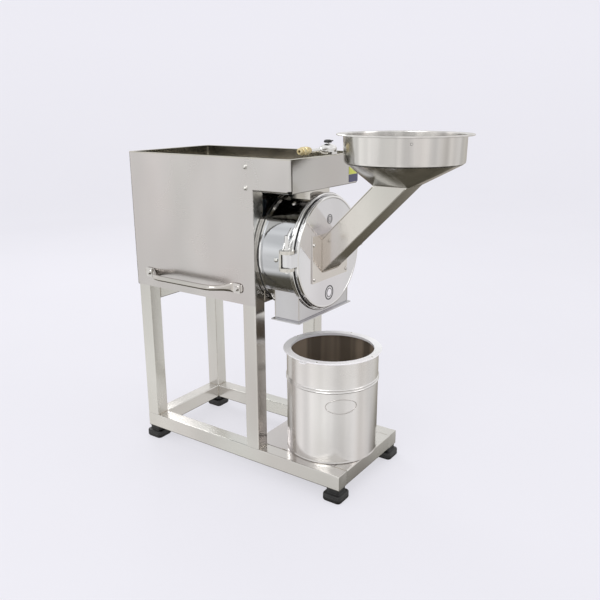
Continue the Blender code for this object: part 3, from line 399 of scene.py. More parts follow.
def head(bm, place, axis, sign, radius, height, sides=24, washer=0.0):
    """A domed screw head, or a chamfered hex one if sides is 6, on a washer if asked."""
    base = 0.0
    if washer:
        disc = [(0, 0), (washer, 0), (washer, 0.0008), (washer - 0.0004, 0.0012), (0, 0.0012)]
        lathe(bm, [(r, sign * h) for r, h in disc], place, axis, 28)
        base = 0.0012
    if sides == 6:
        shape = [(0, 0), (1, 0), (1, 0.75), (0.86, 1), (0, 1)]
    else:
        shape = [(0, 0), (1, 0), (1, 0.35), (0.88, 0.72), (0.55, 0.95), (0.2, 1), (0.18, 0.6), (0, 0.6)]
    profile = [(radius * across, base + height * up) for across, up in shape]
    lathe(bm, [(r, sign * h) for r, h in profile], place, axis, sides)


def mesh_object(name, bm, material):
    mesh = bpy.data.meshes.new(name)
    bm.to_mesh(mesh)
    bm.free()
    made = bpy.data.objects.new(name, mesh)
    bpy.context.scene.collection.objects.link(made)
    mesh.materials.append(material)
    mesh.shade_smooth()
    return made


def piece(name, bm, material, body="root", slot=None, stands_for=None, angle=40, bevel=0.0, thick=0.0,
          outward=None):
    """Makes the bmesh a named piece on a body; a sheet is thickened inwards from its outward face."""
    slot = slot or SLOTS.get(material)
    bmesh.ops.remove_doubles(bm, verts=bm.verts, dist=0.000002)
    bmesh.ops.recalc_face_normals(bm, faces=bm.faces)
    if outward and sum(face.normal.dot(outward) * face.calc_area() for face in bm.faces) < 0:
        bmesh.ops.reverse_faces(bm, faces=bm.faces)
    made = mesh_object(name, bm, material)
    made.data.set_sharp_from_angle(angle=radians(angle))
    if thick:
        step = made.modifiers.new("Thickness", "SOLIDIFY")
        step.thickness = thick
        step.offset = -1.0 if outward else 0.0
    if bevel:
        step = made.modifiers.new("Edges", "BEVEL")
        step.width = bevel
        step.segments = 2
        step.limit_method = "ANGLE"
        step.angle_limit = radians(40)
        step.harden_normals = True
    flats = made.modifiers.new("FlatFaces", "WEIGHTED_NORMAL")
    flats.keep_sharp = True
    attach(made, body)
    if stands_for:
        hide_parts(stands_for)
    return made


def turned(name, profile, place, axis, sides, material, body="root", closed=True, **finish):
    """A piece that is one lathe."""
    bm = bmesh.new()
    lathe(bm, profile, place, axis, sides, closed)
    return piece(name, bm, material, body, **finish)


def dress(names, material):
    """Gives CAD nodes a finished material."""
    for name in names:
        mesh = NODES[name].data
        mesh.materials.clear()
        mesh.materials.append(material)
        mesh.shade_smooth()
        mesh.set_sharp_from_angle(angle=radians(28))


# Stand


def stand():
    rails = {"base_front_rail": "X", "base_rear_rail": "X", "base_side_rail_left": "Y", "base_side_rail_right": "Y",
             "leg_front_left": "Z", "leg_front_right": "Z", "leg_rear_left": "Z", "leg_rear_right": "Z",
             "shelf_rail_left": "Y", "shelf_rail_right": "Y", "shelf_front_rail": "X", "shelf_rear_rail": "X"}
    for name, axis in rails.items():
        low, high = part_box(name)
        u, v, w = DIRECTIONS[axis]
        middle, half = (low + high) / 2, (high - low) / 2
        a, b, reach = abs(half.dot(u)), abs(half.dot(v)), abs(half.dot(w))
        bm = bmesh.new()
        outer = rounded(a, b, 0.003)
        if name.startswith("base_side"):
            nose = rounded(a - 0.0012, b - 0.0012, 0.002)
            steps = [(-reach, nose), (-reach + 0.0012, outer), (reach - 0.0012, outer), (reach, nose)]
            loft(bm, [on_axis(loop, middle + w * h, axis) for h, loop in steps])
        else:
            inner = rounded(a - SHEET, b - SHEET, 0.0015)
            steps = [(-reach, inner), (-reach, outer), (reach, outer), (reach, inner)]
            rows = loft(bm, [on_axis(loop, middle + w * h, axis) for h, loop in steps], False, False)
            skin(bm, [rows[3], rows[0]])
        piece(name + "_tube", bm, TUBE[axis], slot="satin_tube", stands_for=name, angle=50)

    bm = bmesh.new()
    for end in ("front", "rear"):
        for side, name in SIDES:
            low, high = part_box(f"leg_{end}_{name}")
            inset = 0.004
            for y in (low.y, high.y):
                if end == "rear" and y == high.y:
                    continue
                bead(bm, (low.x + inset, y, BASE_TOP), (high.x - inset, y, BASE_TOP))
            inner_x = high.x if side < 0 else low.x
            bead(bm, (inner_x, low.y + inset, BASE_TOP), (inner_x, high.y - inset, BASE_TOP), 0.0018)
            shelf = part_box(f"shelf_{end}_rail")
            for z in (shelf[0].z, shelf[1].z):
                bead(bm, (inner_x, low.y + inset, z), (inner_x, high.y - inset, z))
            for y in (low.y + 0.0004, high.y - 0.0004):
                bead(bm, (inner_x, y, shelf[0].z + inset), (inner_x, y, shelf[1].z - inset), 0.0016)
            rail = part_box(f"base_{end}_rail")
            inner_y = rail[1].y if end == "front" else rail[0].y
            bead(bm, (inner_x, inner_y, rail[0].z + inset), (inner_x, inner_y, rail[1].z - inset))
            level = BASE_TOP - 0.0006
            bead(bm, (inner_x, rail[0].y + inset, level), (inner_x, rail[1].y - inset, level), 0.0012)
    piece("frame_welds", bm, WELD, angle=60)

    low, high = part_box("platform_plate")
    bm = bmesh.new()
    box_shape(bm, low, high, 0.0015, "Z")
    piece("platform_sheet", bm, PANEL, stands_for="platform_plate", angle=32, bevel=0.0004)
    bm = bmesh.new()
    for x in (low.x, high.x):
        for k in range(4):
            y = low.y + (high.y - low.y) * (0.14 + 0.24 * k)
            bead(bm, (x, y - 0.007, high.z), (x, y + 0.007, high.z), 0.0013)
    piece("platform_tacks", bm, WELD, angle=60)


def feet():
    for name in ("front_left", "front_right", "rear_left", "rear_right"):
        low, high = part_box("foot_" + name)
        middle = (low + high) / 2
        half = (high.x - low.x) / 2
        tall = high.z - low.z
        shape = [(0.8, 0.0, 0.3), (0.93, 0.03, 0.34), (1.0, 0.12, 0.36), (1.0, 0.34, 0.36), (0.965, 0.36, 0.36),
                 (0.965, 0.4, 0.36), (1.0, 0.42, 0.36), (1.0, 0.52, 0.36), (0.95, 0.6, 0.34), (0.76, 0.64, 0.28),
                 (0.7, 0.68, 0.26), (0.7, 1.0, 0.2)]
        bm = bmesh.new()
        sections = []
        for share, level, corner in shape:
            loop = rounded(half * share, half * share, half * corner, 6)
            sections.append([Vector((middle.x + x, middle.y + y, low.z + tall * level)) for x, y in loop])
        loft(bm, sections)
        piece(f"foot_pad_{name}", bm, RUBBER, stands_for="foot_" + name)


# Cover and tray


def folded(bm, path, start, end, axis):
    """A sheet's outer face: a line of (across, up) points drawn along an axis."""
    u, v, w = DIRECTIONS[axis]
    rows = [[bm.verts.new(u * a + v * b + w * reach) for a, b in path] for reach in (start, end)]
    skin(bm, rows, around=False)


def bend(centre, radius, start, end, steps=6):
    turns = [radians(start + (end - start) * i / steps) for i in range(steps + 1)]
    return [(centre[0] + radius * cos(t), centre[1] + radius * sin(t)) for t in turns]


def side_panel(side, name):
    """The panel's sheet, its rounded front fold and the lip under its overhang."""
    low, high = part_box(f"side_panel_{name}")
    apron_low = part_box("front_apron")[0]
    face = low.x if side < 0 else high.x
    leg_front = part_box(f"leg_front_{name}")[0].y - SHEET
    notch = apron_low.z
    fold = FOLD
    front = apron_low.y
    bm = bmesh.new()
    corners = [(high.y, low.z), (leg_front, low.z), (leg_front, notch + fold), (front + fold, notch + fold),
               (front + fold, high.z), (high.y, high.z)]
    flat = [bm.verts.new((face, y, z)) for y, z in corners]
    bm.faces.new(flat)
    turns = [radians(90 * i / 7) for i in range(8)]
    columns = []
    for t in turns:
        x = face - side * fold * (1 - cos(t))
        y = front + fold - fold * sin(t)
        columns.append([bm.verts.new((x, y, z)) for z in (notch + fold, high.z)])
    skin(bm, columns, around=False)
    lip = [(face - side * fold * (1 - cos(t)), notch + fold - fold * sin(t)) for t in turns]
    lip.append((face - side * 0.016, notch))
    rows = [[bm.verts.new((x, y, z)) for x, z in lip] for y in (front + fold, leg_front)]
    skin(bm, rows, around=False)
    bmesh.ops.remove_doubles(bm, verts=bm.verts, dist=0.00001)
    piece(f"side_sheet_{name}", bm, PANEL, stands_for=f"side_panel_{name}",
          angle=25, thick=SHEET, outward=Vector((side, 0, 0)))


def cover():
    for side, name in SIDES:
        side_panel(side, name)
    low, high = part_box("front_apron")
    fold = FOLD
    bm = bmesh.new()
    radius = 0.003
    path = [(low.y, high.z), (low.y, low.z + radius)] + bend((low.y + radius, low.z + radius), radius, 180, 270)
    path += [(low.y + 0.0145, low.z)]
    folded(bm, path, low.x + fold + 0.0014, high.x - fold - 0.0014, "X")
    piece("apron_sheet", bm, APRON, stands_for="front_apron", angle=25, thick=SHEET,
          outward=Vector((0, -1, 0)))

    # painted shadow: dark strips where the apron meets the side panels' folds, standing in for the shade in those gaps
    bm = bmesh.new()
    for x in (low.x + fold + 0.0014, high.x - fold - 0.0014):
        box_shape(bm, (x - 0.0009, low.y - 0.0004, low.z + 0.002), (x + 0.0009, low.y + 0.0004, high.z - 0.003),
                  0.0003, "Y")
    piece("apron_gap_shadows", bm, GAP_SHADE)

    low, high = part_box("rear_panel")
    bm = bmesh.new()
    folded(bm, [(high.y - 0.006, low.z)] + bend((high.y - 0.002, low.z + 0.002), 0.002, 270, 360)
           + [(high.y, high.z)], low.x, high.x, "X")
    piece("rear_sheet", bm, APRON, stands_for="rear_panel", angle=25, thick=SHEET,
          outward=Vector((0, 1, 0)))

    bm = bmesh.new()
    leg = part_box("leg_front_left")
    left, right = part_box("side_panel_left")[0].x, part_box("side_panel_right")[1].x
    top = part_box("side_panel_left")[1].z
    for x, sign in ((left, -1), (right, 1)):
        for drop in (0.02, 0.07):
            head(bm, Vector((x, (leg[0].y + leg[1].y) / 2, top - drop)), "X", sign, 0.005, 0.0036, 24, 0.0066)
    for x in (left + 0.018, right - 0.018):
        for k in range(4):
            z = low.z + 0.03 + k * (high.z - low.z - 0.06) / 3
            head(bm, Vector((x, high.y, z)), "Y", 1, 0.0042, 0.0024)
    piece("panel_screws", bm, BOLT)

    # a plain two-tone plate at the end of the apron
    low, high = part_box("front_apron")
    right = high.x - 0.004
    for name, material, bottom, tall in (("label_upper", LIME, 0.0245, 0.02), ("label_lower", NAVY, 0.0045, 0.0195)):
        bm = bmesh.new()
        box_shape(bm, (right - 0.044, low.y - 0.0006, low.z + bottom),
                  (right, low.y - 0.0001, low.z + bottom + tall), 0.0015, "Y")
        piece(name, bm, material)


def tray():
    low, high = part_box("top_tray")
    throat_low, throat_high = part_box("feed_throat")
    middle = (low + high) / 2
    half_x, half_y = (high.x - low.x) / 2, (high.y - low.y) / 2
    lip, corner = 0.004, 0.006
    floor = low.z + SHEET
    top = high.z
    inner_x, inner_y = half_x - lip - SHEET, half_y - lip - SHEET
    steps = [(half_x, half_y, 0.006, top - 0.0028), (half_x, half_y, 0.006, top - 0.001),
             (half_x - 0.0008, half_y - 0.0008, 0.0055, top), (inner_x + 0.0012, inner_y + 0.0012, corner + 0.001, top),
             (inner_x + 0.0002, inner_y + 0.0002, corner, top - 0.001)]
    steps += [(inner_x - 0.004 * (1 - cos(t)), inner_y - 0.004 * (1 - cos(t)), corner,
               floor + 0.004 - 0.004 * sin(t)) for t in (radians(15 * k) for k in range(7))]
    bm = bmesh.new()
    sections = []
    for a, b, r, z in steps:
        sections.append([Vector((middle.x + x, middle.y + y, z)) for x, y in rounded(a, b, r, 6)])
    rows = loft(bm, sections, False, False)
    hole_lip = 0.01
    hole_x = (throat_high.x - throat_low.x) / 2 - hole_lip
    hole_y = (throat_high.y - throat_low.y) / 2 - hole_lip
    throat = (throat_low + throat_high) / 2
    count = len(rows[-1])
    ring = [bm.verts.new((throat.x + x, throat.y + y, floor)) for x, y in rounded(hole_x, hole_y, 0.003, 3)]
    skirt = [bm.verts.new((vert.co.x, vert.co.y, floor - 0.001)) for vert in ring]
    edges = [bm.edges.get((rows[-1][i], rows[-1][(i + 1) % count])) for i in range(count)]
    for i in range(len(ring)):
        j = (i + 1) % len(ring)
        edges.append(bm.edges.new((ring[i], ring[j])))
    bmesh.ops.triangle_fill(bm, use_beauty=True, use_dissolve=False, edges=edges)
    skin(bm, [ring, skirt])
    piece("tray_pan", bm, TRAY, stands_for="top_tray", angle=25)


def handle(side, name):
    """A bent tube with flattened, rounded ends, bolted through both."""
    low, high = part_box(f"panel_handle_{name}")
    wall = high.x if side < 0 else low.x
    reach = (high.x - low.x) - 0.0073
    z = (low.z + high.z) / 2
    out = Vector((side, 0, 0))
    route = [(0.0, 0.0016), (0.004, 0.0016), (0.016, 0.0016), (0.03, 0.0018), (0.038, 0.005), (0.05, 0.016),
             (0.062, 0.027), (0.076, reach - 0.003), (0.094, reach), (0.12, reach)]
    sizes = [(0.0013, 0.005), (0.0015, 0.0105), (0.0016, 0.0125), (0.0017, 0.0125), (0.0034, 0.011),
             (0.0056, 0.0084), (0.0066, 0.0073), (0.0068, 0.0072), (0.0068, 0.0072), (0.0068, 0.0072)]
    start = [Vector((wall, low.y + along, z)) + out * off for along, off in route]
    end = [Vector((wall, high.y - along, z)) + out * off for along, off in reversed(route)]
    widths = [Vector((a, b, 0)) for a, b in sizes + list(reversed(sizes))]
    path = smooth_path(start + end, 6)
    across = [(max(v.x, 0.0012), v.y) for v in smooth_path(widths, 6)]
    bm = bmesh.new()
    sweep(bm, path, across, 20)
    piece(f"handle_bar_{name}", bm, HANDLE, stands_for=f"panel_handle_{name}", angle=60)
    bm = bmesh.new()
    for y in (low.y + 0.017, high.y - 0.017):
        xs = sorted((wall + side * 0.003, wall + side * 0.0046))
        box_shape(bm, (xs[0], y - 0.0105, z - 0.0125), (xs[1], y + 0.0105, z + 0.0125), 0.002, "X")
        head(bm, Vector((wall + side * 0.0046, y, z)), "X", side, 0.0062, 0.0046, 6, 0.008)
    piece(f"handle_bolts_{name}", bm, BOLT, angle=30)


# Chamber


def chamber():
    shell_low, shell_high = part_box("chamber_shell")
    flange = (shell_high.z - shell_low.z) / 2
    shell_r = flange - 0.005
    front, back = shell_low.y, shell_high.y
    rim = []
    for radius, y, size in ((flange - 0.0012, front + 0.0022, 0.0032), (flange - 0.003, front + 0.0088, 0.0026)):
        rim.append([(radius + size * cos(t), y + size * sin(t)) for t in whole_turn(12)])
    for name, profile in zip(("chamber_rim_front", "chamber_rim_second"), rim):
        turned(name, profile, AXIS, "Y", 128, MIRROR, angle=60)
    steps = 44
    # skins over the shell's sides carry the darker, painted-shade copy of the polished steel
    for side, name in SIDES:
        bm = bmesh.new()
        rows = []
        for k in range(steps + 1):
            t = radians(21 + (124 - 21) * k / steps)
            out = Vector((side * sin(t), 0, cos(t))) * (shell_r + 0.0002)
            rows.append([bm.verts.new(AXIS + out + Vector((0, y, 0))) for y in (front + 0.0052, back - 0.0052)])
        skin(bm, rows, around=False)
        piece(f"chamber_skin_{name}", bm, SHELL_DIMMED, angle=30, thick=0.0006)
    bm = bmesh.new()
    for angle in (180, 118, 62, 0):
        out = spoke(angle).xzy
        lathe(bm, [(0, 0), (0.0056, 0), (0.0056, 0.0014), (0.005, 0.0034), (0.003, 0.0046), (0, 0.005)],
              AXIS + Vector((0, (front + back) / 2, 0)) + out * (shell_r + 0.0002), facing(out), 20)
    piece("chamber_studs", bm, BOLT, angle=35)

    door_low, door_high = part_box("door_gasket")
    door_r = (door_high.z - door_low.z) / 2 + 0.001
    door_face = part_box("chamber_door")[0].y
    hem = [(-0.006, 0.0006), (-0.0052, -0.0004), (-0.003, -0.0012), (-0.0006, -0.0006), (0.0008, 0.0012),
           (0.0008, 0.004), (-0.001, 0.0062), (-0.004, 0.0062)]
    turned("door_hem", [(door_r + r, door_face + h) for r, h in hem], AXIS, "Y", 128, MIRROR, "door")

    for name, level, radius in (("upper", 0.0846, 0.0118), ("lower", -0.1042, 0.019)):
        centre = AXIS + Vector((0, door_face, level))
        bm = bmesh.new()
        for outer, inner in ((1.0, 0.84), (0.62, 0.54)):
            ring = [(outer, -0.0001), (outer, -0.0004), (inner, -0.0004), (inner, -0.0001)]
            lathe(bm, [(radius * r, h) for r, h in ring], centre, "Y", 48, closed=True)
        piece(f"badge_ring_{name}", bm, INK, "door")
        turned(f"badge_disc_{name}", [(radius * 0.5, -0.0001), (radius * 0.5, -0.0003), (0, -0.0003)], centre, "Y", 40,
               RING, "door", closed=False, slot="polished_steel")


def screen():
    """The ring screen, with its slots cut through."""
    low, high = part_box("grinding_screen")
    radius = (AXIS.z - low.z) - 0.0006
    gap = asin((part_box("feed_throat")[1].x - MID_X) / radius)
    columns, rows = 132, 12
    bm = bmesh.new()
    grid = []
    for i in range(columns + 1):
        t = gap + (2 * pi - 2 * gap) * i / columns
        grid.append([bm.verts.new(AXIS + Vector((radius * sin(t), low.y + (high.y - low.y) * k / rows,
                                                  radius * cos(t)))) for k in range(rows + 1)])
    skin(bm, grid, around=False)
    inside = [face for face in bm.faces if all(len(edge.link_faces) == 2 for edge in face.edges)]
    bmesh.ops.inset_individual(bm, faces=inside, thickness=0.0016, use_even_offset=True)
    bmesh.ops.delete(bm, geom=inside, context="FACES_ONLY")
    piece("screen_mesh", bm, TOOL, stands_for="grinding_screen", angle=40, thick=0.0012)


def chute():
    """Bolts, weld beads and the folded edges of the inlet chute."""
    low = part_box("inlet_chute")[0]
    funnel_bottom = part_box("hopper_funnel")[0].z
    door_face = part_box("chamber_door")[0].y
    plate_front = door_face - CHUTE_PLATE
    half = CHUTE_HALF
    bottom = low.z + CHUTE_SILL
    top = bottom + 0.086
    bm = bmesh.new()
    for x in (-0.0745, 0.0745):
        for z in (bottom - 0.0115, top - 0.012):
            head(bm, Vector((MID_X + x, plate_front, z)), "Y", -1, 0.0046, 0.003)
    piece("chute_bolts", bm, BOLT, "door", angle=35)
    bm = bmesh.new()
    for side in (-1, 1):
        x = MID_X + side * (half + 0.0004)
        for shift in (top, bottom + 0.005):
            run = funnel_bottom - shift
            start = Vector((x, plate_front - 0.001, shift - 0.0025))
            end = start + Vector((0, -1, 1)) * (run - 0.001)
            sweep(bm, [start, (start + end) / 2, end], [(0.0006, 0.0016)] * 3, 8, Vector((side, 0, 0)))
    piece("chute_hems", bm, DUCT, "door", angle=50)
    bm = bmesh.new()
    for side in (-1, 1):
        x = MID_X + side * half
        bead(bm, (x, plate_front, bottom), (x, plate_front, top), 0.0018)
    bead(bm, (MID_X - half, plate_front, top), (MID_X + half, plate_front, top), 0.0018)
    bead(bm, (MID_X - half, plate_front, bottom), (MID_X + half, plate_front, bottom), 0.0018)
    piece("chute_welds", bm, WELD, "door", slot="stainless_sheet", angle=60)


def hopper():
    pan_low, pan_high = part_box("hopper_pan")
    cone_low, cone_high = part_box("hopper_funnel")
    chute_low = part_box("inlet_chute")[0]
    centre = Vector(((pan_low.x + pan_high.x) / 2, (pan_low.y + pan_high.y) / 2, 0))
    rim = (pan_high.y - pan_low.y) / 2
    wall = rim - 0.017
    bottom, top = pan_low.z + SHEET, pan_high.z
    profile = [(rim - 0.0012, top - 0.0032), (rim, top - 0.0026), (rim, top - 0.0008), (rim - 0.0008, top),
               (wall + 0.003, top),
               (wall + 0.0008, top - 0.0009), (wall, top - 0.003), (wall - 0.0014, bottom + 0.007),
               (wall - 0.0022, bottom + 0.0028), (wall - 0.005, bottom + 0.0004), (wall - 0.01, bottom),
               (wall - 0.01, bottom - SHEET), (wall - 0.005, bottom - SHEET), (wall - 0.0004, bottom + 0.001),
               (wall + 0.0004, bottom + 0.006), (wall + SHEET, top - 0.0042), (wall + 0.0034, top - 0.0017),
               (rim - 0.0026, top - 0.0017)]
    turned("hopper_bowl", profile, centre, "Z", 144, HOPPER, "door", stands_for="hopper_pan", angle=38)

    # a square-to-round funnel: four flat triangles with four cone parts between them
    mouth_x, mouth_y = CHUTE_HALF, 0.043
    run = cone_low.z - chute_low.z - CHUTE_SILL
    mouth = Vector((MID_X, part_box("chamber_door")[0].y - CHUTE_PLATE - run + mouth_y, cone_low.z))
    upper = wall - 0.0052
    level = cone_high.z
    bm = bmesh.new()
    steps = 24
    corners = [(1, 1), (-1, 1), (-1, -1), (1, -1)]
    inner = []
    for sx, sy in corners:
        inner.append(bm.verts.new((mouth.x + sx * mouth_x, mouth.y + sy * mouth_y, mouth.z)))
    circle = []
    for i in range(4 * steps):
        t = 2 * pi * i / (4 * steps)
        circle.append(bm.verts.new((centre.x + upper * cos(t), centre.y + upper * sin(t), level)))
    for k in range(4):
        for i in range(steps):
            bm.faces.new((inner[k], circle[k * steps + i], circle[(k * steps + i + 1) % (4 * steps)]))
        bm.faces.new((inner[k], circle[((k + 1) * steps) % (4 * steps)], inner[(k + 1) % 4]))
    piece("hopper_cone", bm, HOPPER, "door", stands_for="hopper_funnel", angle=12, thick=SHEET)

    bm = bmesh.new()
    out = spoke(20)
    bead(bm, centre + out * (wall + 0.0012) + Vector((0, 0, bottom + 0.004)),
         centre + out * (wall + 0.0016) + Vector((0, 0, top - 0.004)), 0.0009)
    for k in range(4):
        one, two = inner_corner(mouth, mouth_x, mouth_y, k), inner_corner(mouth, mouth_x, mouth_y, k + 1)
        bead(bm, one, two, 0.0016)
    piece("hopper_welds", bm, WELD, "door", slot="stainless_sheet", angle=60)

    # a spot weld on the wall
    out = spoke(-148)
    turned("hopper_spot_weld", [(0.0036, 0.0), (0.003, 0.0006), (0.0016, 0.0001), (0, -0.0001)],
           centre + out * (wall + SHEET - 0.0006) + Vector((0, 0, top - 0.016)), facing(out), 20, TOOL, "door",
           closed=False, slot="stainless_sheet", angle=60)


def inner_corner(mouth, half_x, half_y, k):
    sx, sy = ((1, 1), (-1, 1), (-1, -1), (1, -1))[k % 4]
    return Vector((mouth.x + sx * (half_x + 0.0006), mouth.y + sy * (half_y + 0.0006), mouth.z + 0.0004))


def spout():
    """A rolled edge round the outlet's rim, and welds up the duct's corners."""
    low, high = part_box("outlet_spout")
    middle = (low + high) / 2
    half_x, half_y = (high.x - low.x) / 2, (high.y - low.y) / 2
    bm = bmesh.new()
    loop = rounded(half_x - 0.0018, half_y - 0.0018, 0.004, 5)
    count = len(loop)
    rows = []
    for i in range(count):
        point = Vector((middle.x + loop[i][0], middle.y + loop[i][1], low.z + 0.0016))
        ahead = Vector((loop[(i + 1) % count][0] - loop[i - 1][0], loop[(i + 1) % count][1] - loop[i - 1][1], 0))
        across = ahead.cross(Vector((0, 0, 1))).normalized()
        rows.append([bm.verts.new(point + across * 0.0018 * cos(t) + Vector((0, 0, 0.002 * sin(t))))
                     for t in whole_turn(10)])
    skin(bm, rows, back=True)
    piece("spout_hem", bm, SPOUT, angle=50)
    bm = bmesh.new()
    duct_x, duct_y = half_x - 0.009, half_y - 0.0063
    for sx in (-1, 1):
        for sy in (-1, 1):
            x, y = middle.x + sx * duct_x, middle.y + sy * duct_y
            bead(bm, (x, y, low.z + 0.004), (x, y, low.z + 0.07), 0.001)
    piece("spout_welds", bm, WELD, slot="stainless_sheet", angle=60)


def hinge():
    """The stays that brace the hinge lug to the chamber's rim, and the ear's knuckle round the pin."""
    pin_low, pin_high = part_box("hinge_pin")
    centre = (pin_low + pin_high) / 2
    bracket_low, bracket_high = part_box("hinge_bracket")
    bm = bmesh.new()
    shell_r = AXIS.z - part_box("chamber_shell")[0].z - 0.004
    for shift, angle in ((-0.007, 152), (0.007, 148)):
        t = radians(angle)
        root = Vector((centre.x + 0.003, centre.y + shift + 0.006, bracket_high.z - 0.002))
        tip = AXIS + Vector((shell_r * cos(t), centre.y + shift + 0.004, shell_r * sin(t)))
        middle = (root + tip) / 2 + Vector((-0.004, 0, 0.001))
        path = smooth_path([root, middle, tip], 6)
        sweep(bm, path, 0.0034, 14, Vector((0, 1, 0)))
    piece("hinge_stays", bm, MIRROR, angle=60)

    # the ear's rolled knuckle round the pin, and the rounded tab that joins it to the door
    half = 0.0155
    level = (bracket_low.z + bracket_high.z) / 2
    door_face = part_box("chamber_door")[0].y
    bm = bmesh.new()
    place = Vector((centre.x, centre.y, level))
    lathe(bm, [(0.0056, -half), (0.0102, -half), (0.0108, 0.0006 - half), (0.0108, half - 0.0006), (0.0102, half),
               (0.0056, half)], place, "Z", 40, closed=True)
    box_shape(bm, (centre.x - 0.0088, door_face + 0.0006, level - half), (centre.x + 0.01, centre.y, level + half),
              0.003)
    piece("hinge_knuckle", bm, DOOR, "door")


def clamp():
    nut_low, nut_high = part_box("hand_nut")
    bolt_low, bolt_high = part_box("swing_bolt")
    centre = (nut_low + nut_high) / 2
    radius = (nut_high.z - nut_low.z) / 2
    length = nut_high.x - nut_low.x
    place = Vector((nut_low.x, centre.y, centre.z))
    profile = [(0.0054, 0), (radius * 0.88, 0), (radius, 0.0014), (radius, length - 0.0014), (radius * 0.88, length),
               (0.0054, length)]
    turned("clamp_nut", profile, place, "X", 6, BOLT, "hand_nut", stands_for="hand_nut", angle=20)
    start = bolt_low.x + 0.024
    end = bolt_high.x
    count = int((end - start - 0.002) / 0.0015)
    profile = [(0, 0), (0.0049, 0)]
    for i in range(count):
        profile += [(0.0051, 0.0015 * i + 0.0004), (0.0044, 0.0015 * i + 0.0011)]
    profile += [(0.004, end - start), (0, end - start)]
    turned("bolt_thread", profile, Vector((start, centre.y, centre.z)), "X", 20, BOLT, "swing_bolt", closed=False,
           angle=30)


# Valve, drum and what is inside


def valve():
    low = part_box("water_valve")[0]
    knob_low, knob_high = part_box("valve_knob")
    y = (knob_low.y + knob_high.y) / 2
    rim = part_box("top_tray")[1].z
    level = rim + 0.0123
    place = Vector((low.x + 0.022, y, level + 0.0012))
    bm = bmesh.new()
    barb = [(0.0052, 0), (0.0088, 0.0008), (0.0094, 0.006), (0.0068, 0.0092), (0.0112, 0.0108), (0.0116, 0.0195),
            (0.0084, 0.0215), (0.008, 0.025), (0.0114, 0.0268), (0.0114, 0.037), (0.0082, 0.039), (0.0094, 0.041),
            (0.0094, 0.049), (0.007, 0.052), (0.0052, 0.056), (0.0036, 0.056), (0.0036, 0.0)]
    lathe(bm, [(r * 0.86, h * 0.84) for r, h in barb], place, "X", 10, closed=True)
    nut = [(0.01, 0.0232), (0.0108, 0.024), (0.0108, 0.0296), (0.01, 0.0304), (0.0072, 0.0304), (0.0072, 0.0232)]
    lathe(bm, nut, place, "X", 6, closed=True)
    piece("valve_union", bm, CREAM, angle=30)
    bm = bmesh.new()
    place = Vector((low.x, y, level))
    body_x = (knob_low.x + 0.01) - low.x
    reach = 0.033
    pipe_end = body_x - reach
    profile = [(0, 0.05), (0.0044, 0.05), (0.0044, pipe_end - 0.004), (0.0062, pipe_end - 0.003),
               (0.0062, pipe_end + 0.001)]
    profile += [(0.0062 + 0.0068 * sin(pi * k / 12) ** 0.7, pipe_end + 2 * reach * k / 12) for k in range(1, 12)]
    profile += [(0.006, body_x + reach - 0.0005), (0.004, body_x + reach), (0, body_x + reach)]
    lathe(bm, profile, place, "X", 32)
    stem = Vector((low.x + body_x, y, level))
    lathe(bm, [(0.007, 0.008), (0.007, 0.0125), (0.0038, 0.013), (0.0036, 0.0152), (0, 0.0152)], stem, "Z", 24)
    box_shape(bm, (stem.x - 0.012, low.y, rim + 0.0003), (stem.x + 0.012, y + 0.008, level - 0.006), 0.001)
    piece("valve_body", bm, MIRROR, slot="valve_brass", stands_for="water_valve")
    bm = bmesh.new()
    radius = (knob_high.y - knob_low.y) / 2
    base = Vector((stem.x, y, knob_low.z))
    tall = knob_high.z - knob_low.z
    lathe(bm, [(0, 0), (radius * 0.85, 0), (radius, tall * 0.15), (radius, tall * 0.55), (radius * 0.86, tall * 0.85),
               (radius * 0.5, tall), (0, tall)], base, "Z", 28)
    box_shape(bm, (stem.x, y - 0.003, knob_low.z + tall * 0.3), (knob_high.x, y + 0.003, knob_low.z + tall * 0.72),
              0.0015, "X")
    piece("valve_cap", bm, PLASTIC, "valve_knob", stands_for="valve_knob", bevel=0.0005)


